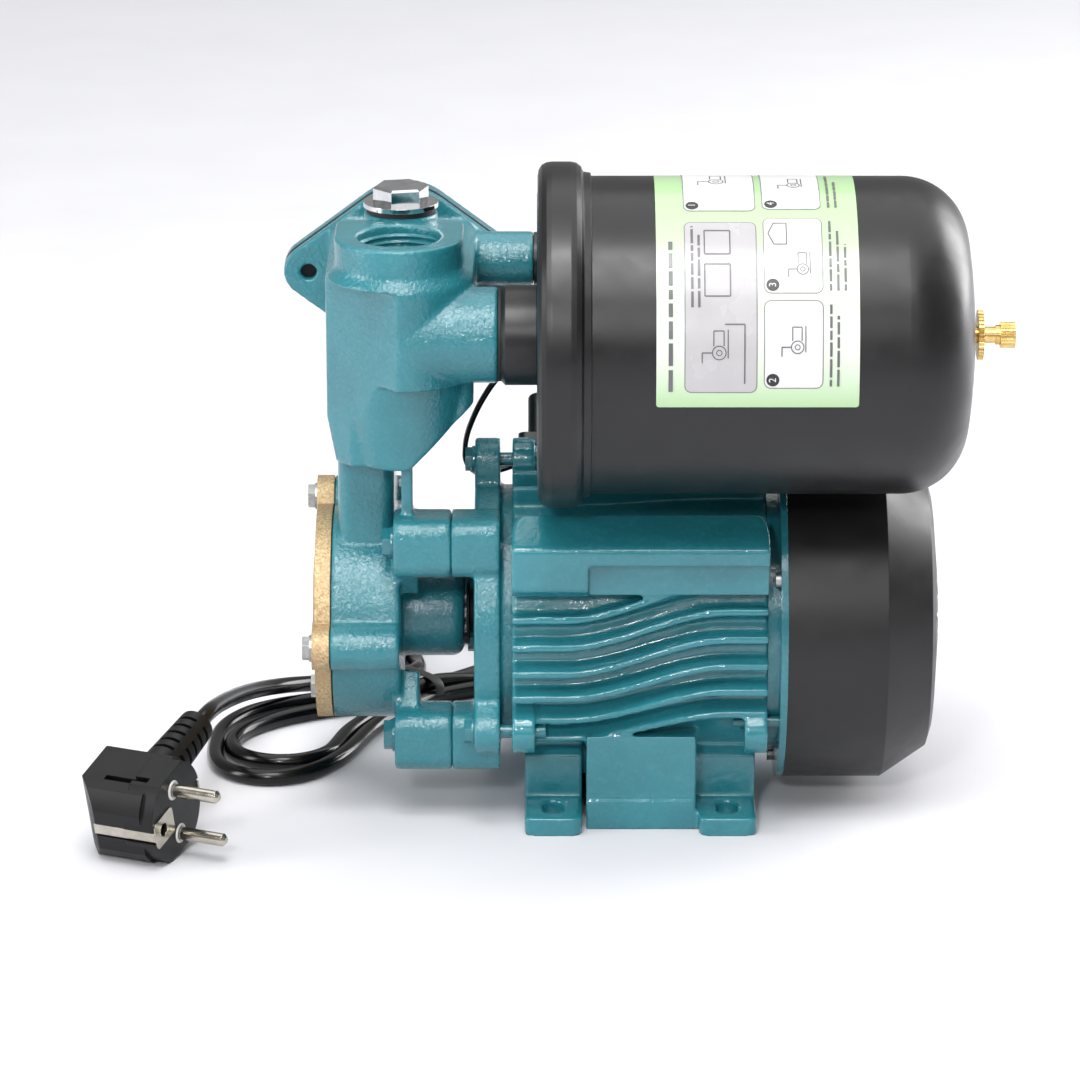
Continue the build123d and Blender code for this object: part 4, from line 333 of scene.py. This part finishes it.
# ---------------------------------------------------------------- mains cord
CORD_D = 6.4
CORD_POINTS = [
    (20, 81.1, 89.0), (20, 99.3, 74.8), (19.6, 115, 57), (18, 120.5, 38.5), (9.5, 123.5, 22.5),
    (-6, 123.5, 11.5), (-24, 117, 5), (-41, 106.5, 3.2), (-56, 96.5, 3.2), (-69, 90.5, 3.2),
    (-78.8, 84.8, 3.2), (-87, 74, 3.2), (-95, 62, 3.2), (-102, 49, 3.2), (-106.5, 35.5, 3.2),
    (-110.6, 22.5, 3.2), (-115.4, 11.5, 3.2), (-121.9, 1.6, 3.2), (-131, -5.6, 3.2), (-142, -7.6, 3.2),
    (-152.3, -3.4, 3.2), (-159.2, 5.4, 3.2), (-162, 17, 3.2), (-162.3, 30, 3.2), (-161.8, 42, 3.2),
    (-158.5, 54, 3.2), (-151, 66, 3.2), (-139, 74.5, 3.2), (-125, 80, 3.2), (-111, 85, 3.8),
    (-99.5, 90, 6.0), (-90.8, 96, 7.6), (-86.2, 105, 7.0), (-85.8, 116.5, 4.6), (-87.6, 128, 3.2),
    (-89.1, 138.6, 3.2), (-86.7, 149.4, 3.2), (-79, 157.1, 3.2), (-68.7, 159.9, 3.2), (-58.4, 157.1, 3.2),
    (-50.7, 149.4, 3.2), (-48.0, 138.6, 3.2), (-50.4, 128, 3.2), (-57, 118, 3.2), (-67, 108, 3.2),
    (-76.5, 99.5, 3.2), (-85, 92, 3.2), (-96, 82.5, 3.2), (-109, 74.5, 3.2), (-123, 68.5, 3.2),
    (-137, 60.5, 3.2), (-147.5, 51, 3.2), (-154, 41, 3.2), (-156.6, 30, 3.2), (-153.8, 19.3, 3.2),
    (-146.3, 11.8, 3.2), (-136, 9.0, 3.2), (-125.7, 11.8, 3.2), (-118.2, 19.3, 3.2), (-115.1, 30, 3.2),
    (-112.4, 41.5, 3.2), (-107, 54, 3.2), (-99.5, 66.8, 3.2), (-91.5, 79, 5.0), (-81.9, 88.4, 7.6),
    (-72, 95.5, 6.2), (-60.5, 103.5, 3.4), (-49.5, 113.5, 3.2), (-42, 127, 3.2), (-40.8, 143, 3.2),
    (-47.5, 157.3, 3.2), (-61, 165.5, 3.2), (-77.5, 165.2, 3.2), (-89.8, 156.5, 3.2), (-94.8, 142, 3.2),
    (-95, 128, 3.2), (-98, 116, 3.2), (-105, 107.3, 3.2), (-113.5, 100.8, 3.6), (-122.8, 94, 5.4),
    (-132.8, 83.8, 8.6), (-142, 69.5, 12.6), (-148, 52.5, 17.3), (-152.6, 34, 22.2), (-156.4, 15, 26.8),
    (-159.8, -4, 31.0), (-162.4, -21.4, 34.0), (-166.8, -31.1, 31.1),
]


def smooth_curve(name, points, thickness, material):
    """A round flexible line: one open NURBS spline through the stretch that its control points pull."""
    curve = bpy.data.curves.new(name, "CURVE")
    curve.dimensions = "3D"
    spline = curve.splines.new("NURBS")
    spline.points.add(len(points) - 1)
    for point, (x, y, z) in zip(spline.points, points):
        point.co = (x * MM, y * MM, z * MM, 1.0)
    spline.order_u = 3
    spline.use_endpoint_u = True
    spline.resolution_u = 6
    curve.bevel_depth = thickness / 2 * MM
    curve.bevel_resolution = 5
    curve.use_fill_caps = True
    curve.materials.append(material)
    made = bpy.data.objects.new(name, curve)
    bpy.context.scene.collection.objects.link(made)
    return made


cord = smooth_curve("mains_cord", CORD_POINTS, CORD_D, CORD_JACKET)
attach(cord, "pump")
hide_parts("mains_lead", "mains_hank", "mains_tail")


TIE_POS = (-85.0, 92.0)          # where the tie stands on the ground
TIE_YAW = math.radians(41.0)     # the way the strands run there
TIE_HALF_WIDTH, TIE_MID, TIE_HALF_HEIGHT = 12.7, 5.6, 5.2
TIE_HALF_THICKNESS, TIE_HALF_BAND = 0.35, 2.2


def hank_tie():
    """A flat tie round the strands: a band whose section is a rounded rectangle, carried round a
    superellipse that stands across the strands."""
    turn = np.linspace(0, 2 * np.pi, 96, endpoint=False)
    section = np.linspace(0, 2 * np.pi, 12, endpoint=False)
    across = np.sign(np.cos(turn)) * np.abs(np.cos(turn)) ** 0.45 * TIE_HALF_WIDTH
    up = TIE_MID + np.sign(np.sin(turn)) * np.abs(np.sin(turn)) ** 0.7 * TIE_HALF_HEIGHT
    out = np.stack([np.gradient(up), -np.gradient(across)], -1)
    out /= np.linalg.norm(out, axis=1, keepdims=True) + 1e-9
    thick = TIE_HALF_THICKNESS * np.sin(section)
    wide = TIE_HALF_BAND * np.sign(np.cos(section)) * np.abs(np.cos(section)) ** 0.5
    a = across[:, None] - out[:, :1] * thick
    z = np.maximum(up[:, None] - out[:, 1:] * thick, 0.05)
    along = np.broadcast_to(wide, a.shape)
    x = TIE_POS[0] + along * math.cos(TIE_YAW) - a * math.sin(TIE_YAW)
    y = TIE_POS[1] + along * math.sin(TIE_YAW) + a * math.cos(TIE_YAW)
    points = np.stack([x, y, z], -1).reshape(-1, 3)
    return mesh_object("hank_tie", points, grid_faces(96, 12, True, True), NYLON)


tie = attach(hank_tie(), "pump")

# ---------------------------------------------------------------- plug collars
PLUG_POS = (-169.7, -82.2, 18.3)
PLUG_TURN = Matrix.Rotation(math.radians(-24.0), 3, "Z") @ Matrix.Rotation(math.radians(15.0), 3, "X")
PIN_SPACING = 19.0
COLLAR_R, COLLAR_BEAD_R, COLLAR_BEAD_X, COLLAR_FOOT = 3.1, 0.62, 0.45, 0.15


def pin_collar(name, side):
    """The pale insulating collar at a pin's foot: a bead of oval section, carried round the pin."""
    around = np.linspace(0, 2 * np.pi, 48, endpoint=False)
    section = np.linspace(0, 2 * np.pi, 12, endpoint=False)
    around, section = np.meshgrid(around, section, indexing="ij")
    r = COLLAR_R + COLLAR_BEAD_R * np.cos(section)
    x = COLLAR_FOOT + COLLAR_BEAD_X * np.sin(section)
    y = r * np.cos(around)
    z = r * np.sin(around) + side * PIN_SPACING / 2
    points = np.stack([x, y, z], -1).reshape(-1, 3) @ np.array(PLUG_TURN).T + np.array(PLUG_POS)
    return mesh_object(name, points, grid_faces(48, 12, True, True), COLLAR_GREY)


for label, side in (("upper", 1), ("lower", -1)):
    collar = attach(pin_collar("pin_collar_" + label, side), "pump")

# ---------------------------------------------------------------- tank label
LABEL_X0 = 3.7                # where it starts along the tank
LABEL_W, LABEL_LEN = 71.4, 129.0
LABEL_LOW = -10.5             # degrees below the tank's widest line
FILM_LIFT, PRINT_STEP = 0.12, 0.07


def on_tank(u, w, layer):
    """Wraps the flat label round the tank: u along the axis, w round the shell from its lower edge."""
    u, w = np.broadcast_arrays(u, w)
    angle = math.radians(LABEL_LOW) + w / TANK_R
    r = TANK_R + FILM_LIFT + PRINT_STEP * layer
    return np.stack([LABEL_X0 + u, TANK_Y - r * np.cos(angle), TANK_Z + r * np.sin(angle)], -1)


def panel(u0, u1, w0, w1, corner, layer):
    """A rounded rectangle in rows: near its ends each row is shorter by the corner's arc."""
    share = (1 - np.cos(np.linspace(0, np.pi, 44))) / 2
    w = w0 + (w1 - w0) * share
    near = np.minimum(w - w0, w1 - w)
    short = np.where(near < corner, corner - np.sqrt(np.maximum(corner ** 2 - (corner - near) ** 2, 0)), 0)
    u = np.stack([u0 + short, u1 - short], -1)
    return on_tank(u, w[:, None], layer)


def disc(u, w, radius, layer):
    """A round spot in rows."""
    turn = np.linspace(-np.pi / 2, np.pi / 2, 20)
    half = radius * np.cos(turn)
    return on_tank(np.stack([u - half, u + half], -1), (w + radius * np.sin(turn))[:, None], layer)


def stroke(points, width, layer):
    """A drawn line of even width through a few points."""
    rows = []
    for (u0, w0), (u1, w1) in zip(points, points[1:]):
        length = math.hypot(u1 - u0, w1 - w0)
        t = np.linspace(0, 1, max(2, int(length / 3) + 2))
        across = np.array([-(w1 - w0), u1 - u0]) / length * width / 2
        u = u0 + (u1 - u0) * t[:, None] + np.array([across[0], -across[0]])
        w = w0 + (w1 - w0) * t[:, None] + np.array([across[1], -across[1]])
        rows.append(on_tank(u, w, layer))
    return rows


def ring(u, w, radius, width, layer):
    """A drawn circle."""
    turn = np.linspace(0, 2 * np.pi, 29)
    return stroke([(u + radius * math.cos(a), w + radius * math.sin(a)) for a in turn], width, layer)


def pump_sign(u, w, size):
    """A plain sign for a pump: a wheel, a motor block on a base and a rising pipe."""
    lines = ring(u, w, 2.0 * size, 0.35, 4) + ring(u, w, 0.8 * size, 0.3, 4)
    block = [(-1.6, 2.0), (-1.6, 6.4), (1.4, 6.4), (1.4, 2.0)]
    base = [(2.6, -1.6), (2.6, 6.8)]
    pipe = [(-2.0, 0.0), (-5.0, 0.0), (-5.0, -3.0)]
    for path in (block, base, pipe):
        lines += stroke([(u + a * size, w + b * size) for a, b in path], 0.4, 4)
    return lines


def digit(text, u, w, height):
    """A plain number, reading upwards, as a flat mesh on the label."""
    curve = bpy.data.curves.new("digit", "FONT")
    curve.body = text
    curve.align_x, curve.align_y = "CENTER", "CENTER"
    curve.size = height
    holder = bpy.data.objects.new("digit", curve)
    bpy.context.scene.collection.objects.link(holder)
    graph = bpy.context.evaluated_depsgraph_get()
    mesh = bpy.data.meshes.new_from_object(holder.evaluated_get(graph))
    flat = np.empty(len(mesh.vertices) * 3)
    mesh.vertices.foreach_get("co", flat)
    flat = flat.reshape(-1, 3)
    faces = [tuple(face.vertices) for face in mesh.polygons]
    bpy.data.objects.remove(holder)
    return on_tank(u - flat[:, 1], w + flat[:, 0], 5), faces


def label_film(name):
    """Glossy printed vinyl: pale green that clears to white across the middle."""
    material, tree, shader, place = start(name, IOR=1.5, Roughness=0.22, Coat_Weight=0.4,
                                          Coat_Roughness=0.1)
    height = add(tree, "ShaderNodeSeparateXYZ", {"Vector": place}).outputs["Z"]
    above = ramp(tree, height, 0.205, 0.243)
    below = ramp(tree, height, 0.196, 0.176)
    ends = add(tree, "ShaderNodeMath", {0: above, 1: below}, operation="MAXIMUM").outputs["Value"]
    tree.links.new(two_tone(tree, ends, "#d3dccd", "#a3c592"), shader.inputs["Base Color"])
    tree.links.new(bump(tree, grain(tree, place, 6, 2), 0.04), shader.inputs["Normal"])
    return material


def tank_label():
    """The label's film and everything printed on it, as one mesh of thin stacked layers: frames with
    plain numbers and signs, and dashes where the lines of writing stand."""
    grids = [(panel(0, LABEL_W, 0, LABEL_LEN, 1.0, 0), 0)]
    frames = [(9.8, 35.5, 5.5, 70.2, "", 2), (9.8, 35.5, 75.8, 122.0, "1", 3),
              (37.7, 58.7, 7.1, 38.6, "2", 3), (37.7, 58.7, 40.9, 72.2, "3", 3),
              (37.7, 58.7, 76.7, 122.0, "4", 3)]
    loose = []
    for u0, u1, w0, w1, number, fill in frames:
        grids.append((panel(u0, u1, w0, w1, 2.6, 1), 1))
        grids.append((panel(u0 + 0.4, u1 - 0.4, w0 + 0.4, w1 - 0.4, 2.2, 2), fill))
        if number:
            grids.append((disc(u0 + 3.2, w0 + 3.2, 2.3, 3), 4))
            loose.append((digit(number, u0 + 3.2, w0 + 3.2, 3.6), 3))
    lines = pump_sign(22.0, 20.0, 1.2) + pump_sign(22.0, 98.0, 1.3) + pump_sign(49.5, 22.0, 1.1)
    lines += pump_sign(51.5, 50.0, 1.0) + pump_sign(49.5, 94.0, 1.1)
    lines += stroke([(31.0, 9.0), (31.0, 30.0), (24.0, 30.0)], 0.5, 4)
    lines += stroke([(26.0, 40.0), (17.0, 40.0), (17.0, 52.0), (26.0, 52.0), (26.0, 40.0)], 0.5, 4)
    lines += stroke([(26.0, 56.0), (17.0, 56.0), (17.0, 66.0), (26.0, 66.0), (26.0, 56.0)], 0.5, 4)
    house = [(46.0, 60.0), (46.0, 69.5), (41.5, 69.5), (39.5, 64.7), (41.5, 60.0), (46.0, 60.0)]
    lines += stroke(house, 0.4, 4)
    rng = np.random.default_rng(5)
    heading, small = 1.5, 0.9
    for u, w0, w1, tall in ((5.0, 6, 62, heading), (61.3, 8, 37, small), (63.9, 8, 33, small),
                            (61.3, 42, 71, small), (63.9, 42, 66, small), (66.5, 42, 60, small),
                            (61.3, 78, 106, small), (63.9, 78, 98, small), (12.6, 36, 68, small),
                            (15.0, 36, 64, small)):
        while w0 < w1:
            dash = rng.uniform(2.2, 6.5) * (1.4 if tall == heading else 1.0)
            lines += stroke([(u, w0), (u, min(w0 + dash, w1))], tall, 4)
            w0 += dash + tall
    grids += [(rows, 5) for rows in lines]
    points, faces, kinds, total = [], [], [], 0
    for grid, kind in grids:
        quads = grid_faces(*grid.shape[:2]) + total
        points.append(grid.reshape(-1, 3))
        faces += quads.tolist()
        kinds += [kind] * len(quads)
        total += grid.shape[0] * grid.shape[1]
    for (spots, polygons), kind in loose:
        points.append(spots)
        faces += [[v + total for v in polygon] for polygon in polygons]
        kinds += [kind] * len(polygons)
        total += len(spots)
    made = mesh_object("tank_label", np.concatenate(points), faces, label_film("vinyl_green_white"))
    for name, first, second in (("print_frame", "#77777b", "#88888c"), ("print_grey", "#a9a7a9", "#b4b2b4"),
                                ("print_white", "#cfcdcd", "#d8d7d7"), ("print_black", "#1f1f21", "#2b2b2d"),
                                ("print_line", "#5a5a5e", "#68686c")):
        made.data.materials.append(moulded(name, first, second, 0.2, 0.3, 2.0, 0.004, 0.05))
    made.data.polygons.foreach_set("material_index", np.array(kinds, np.int32))
    made.data.update()
    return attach(made, "pump")


tank_label()

# ---------------------------------------------------------------- castings
soft_casting("pump_body", TEAL, 0.8, 9, 0.4)
soft_casting("motor_frame", TEAL_FRAME, 0.8, 3, 0.4)
soft_casting("front_bracket", TEAL, 0.8, 6, 0.5)
soft_casting("suction_flange", TEAL, 0.8, 6, 0.6)


# ---------------------------------------------------------------- outlet thread
def thread(name, radius, top, length, pitch, x, y, material):
    """A female pipe thread: a helical ridge with a rounded crest, standing inwards from the wall.
    The ridge's inward reach is a raised cosine of the place within one pitch."""
    turns = int(length / pitch)
    around = np.linspace(0, 2 * np.pi * turns, 72 * turns + 1)
    across = np.linspace(-0.5, 0.5, 9)
    reach = 1.05 * (0.5 + 0.5 * np.cos(2 * np.pi * across))
    fade = np.clip(np.minimum(around, around[-1] - around) / 1.2, 0, 1)
    r = radius + 0.12 - reach[None, :] * fade[:, None]
    z = top - pitch * around[:, None] / (2 * np.pi) - pitch * across[None, :]
    points = np.stack([x + r * np.cos(around)[:, None], y + r * np.sin(around)[:, None], z], -1)
    made = mesh_object(name, points.reshape(-1, 3), grid_faces(len(around), 9), material)
    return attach(made, "pump")


thread("outlet_thread", 15.15, OUTLET_Z - 3.5, 14.0, 2.309, PORT_X, OUTLET_Y, TEAL)


# ---------------------------------------------------------------- camera, floor and light
def aim(thing, target):
    """Turns a camera or lamp so that it looks at a point."""
    thing.rotation_mode = "QUATERNION"
    thing.rotation_quaternion = (Vector(target) - thing.location).to_track_quat("-Z", "Y")


def camera():
    """A long lens that looks down a little at the pump's side."""
    target = Vector((-0.0372, 0.0, 0.0957))
    data = bpy.data.cameras.new("camera")
    data.sensor_width = 36.0
    data.lens = 520 / 3
    data.clip_end = 20
    made = bpy.data.objects.new("camera", data)
    bpy.context.scene.collection.objects.link(made)
    lift = math.radians(18.0)
    made.location = target + Vector((0, -math.cos(lift), math.sin(lift))) * 1.95
    aim(made, target)
    bpy.context.scene.camera = made


def softbox(name, place, target, width, height, power):
    """A rectangular lamp of this size in metres and this power in watts."""
    data = bpy.data.lights.new(name, "AREA")
    data.shape = "RECTANGLE"
    data.size, data.size_y = width, height
    data.energy = power
    made = bpy.data.objects.new(name, data)
    bpy.context.scene.collection.objects.link(made)
    made.location = place
    aim(made, target)


def studio():
    """A white room: an even pale sky, a wide high sun for the paper, a small hard lamp beside the
    camera for the glints, softboxes above, in front and low, and one on each side."""
    world = bpy.data.worlds.new("white_room")
    world.use_nodes = True
    background = world.node_tree.nodes["Background"]
    background.inputs["Color"].default_value = (1, 1, 1, 1)
    background.inputs["Strength"].default_value = 0.34
    bpy.context.scene.world = world
    sun = bpy.data.lights.new("sky_glow", "SUN")
    sun.energy = 1.5
    sun.angle = math.radians(70)
    holder = bpy.data.objects.new("sky_glow", sun)
    bpy.context.scene.collection.objects.link(holder)
    holder.location = (0.3, 0.5, 2.0)
    aim(holder, (0, 0, 0))
    softbox("lamp_front", (-0.35, -1.7, 1.0), (-0.03, 0, 0.12), 0.18, 0.18, 10)
    softbox("box_front", (-0.2, -1.1, 1.6), (0.03, 0, 0.1), 1.3, 0.45, 13)
    softbox("box_low", (0.3, -1.7, 0.8), (0.03, 0, 0.1), 0.8, 0.4, 1.3)
    softbox("lamp_top", (-0.1, -0.5, 1.4), (0, 0, 0.1), 0.5, 0.3, 7)
    softbox("box_left", (-1.5, -0.5, 0.6), (-0.05, 0, 0.12), 0.4, 1.0, 12)
    softbox("box_right", (1.25, 0.8, 0.6), (0.1, 0, 0.14), 0.8, 1.1, 26)


def floor():
    """A wide sheet of white paper."""
    material, tree, shader, place = start("paper_white", Roughness=0.85)
    tone = two_tone(tree, grain(tree, place, 60, 3), "#d2d2d7", "#dadade")
    tree.links.new(tone, shader.inputs["Base Color"])
    tree.links.new(bump(tree, grain(tree, place, 1.2, 3), 0.02), shader.inputs["Normal"])
    made = mesh_object("floor", [(-6000, -6000, 0), (6000, -6000, 0), (6000, 6000, 0), (-6000, 6000, 0)],
                       [(0, 1, 2, 3)], material, False)


camera()
studio()
floor()
bpy.context.scene.view_settings.view_transform = "Standard"
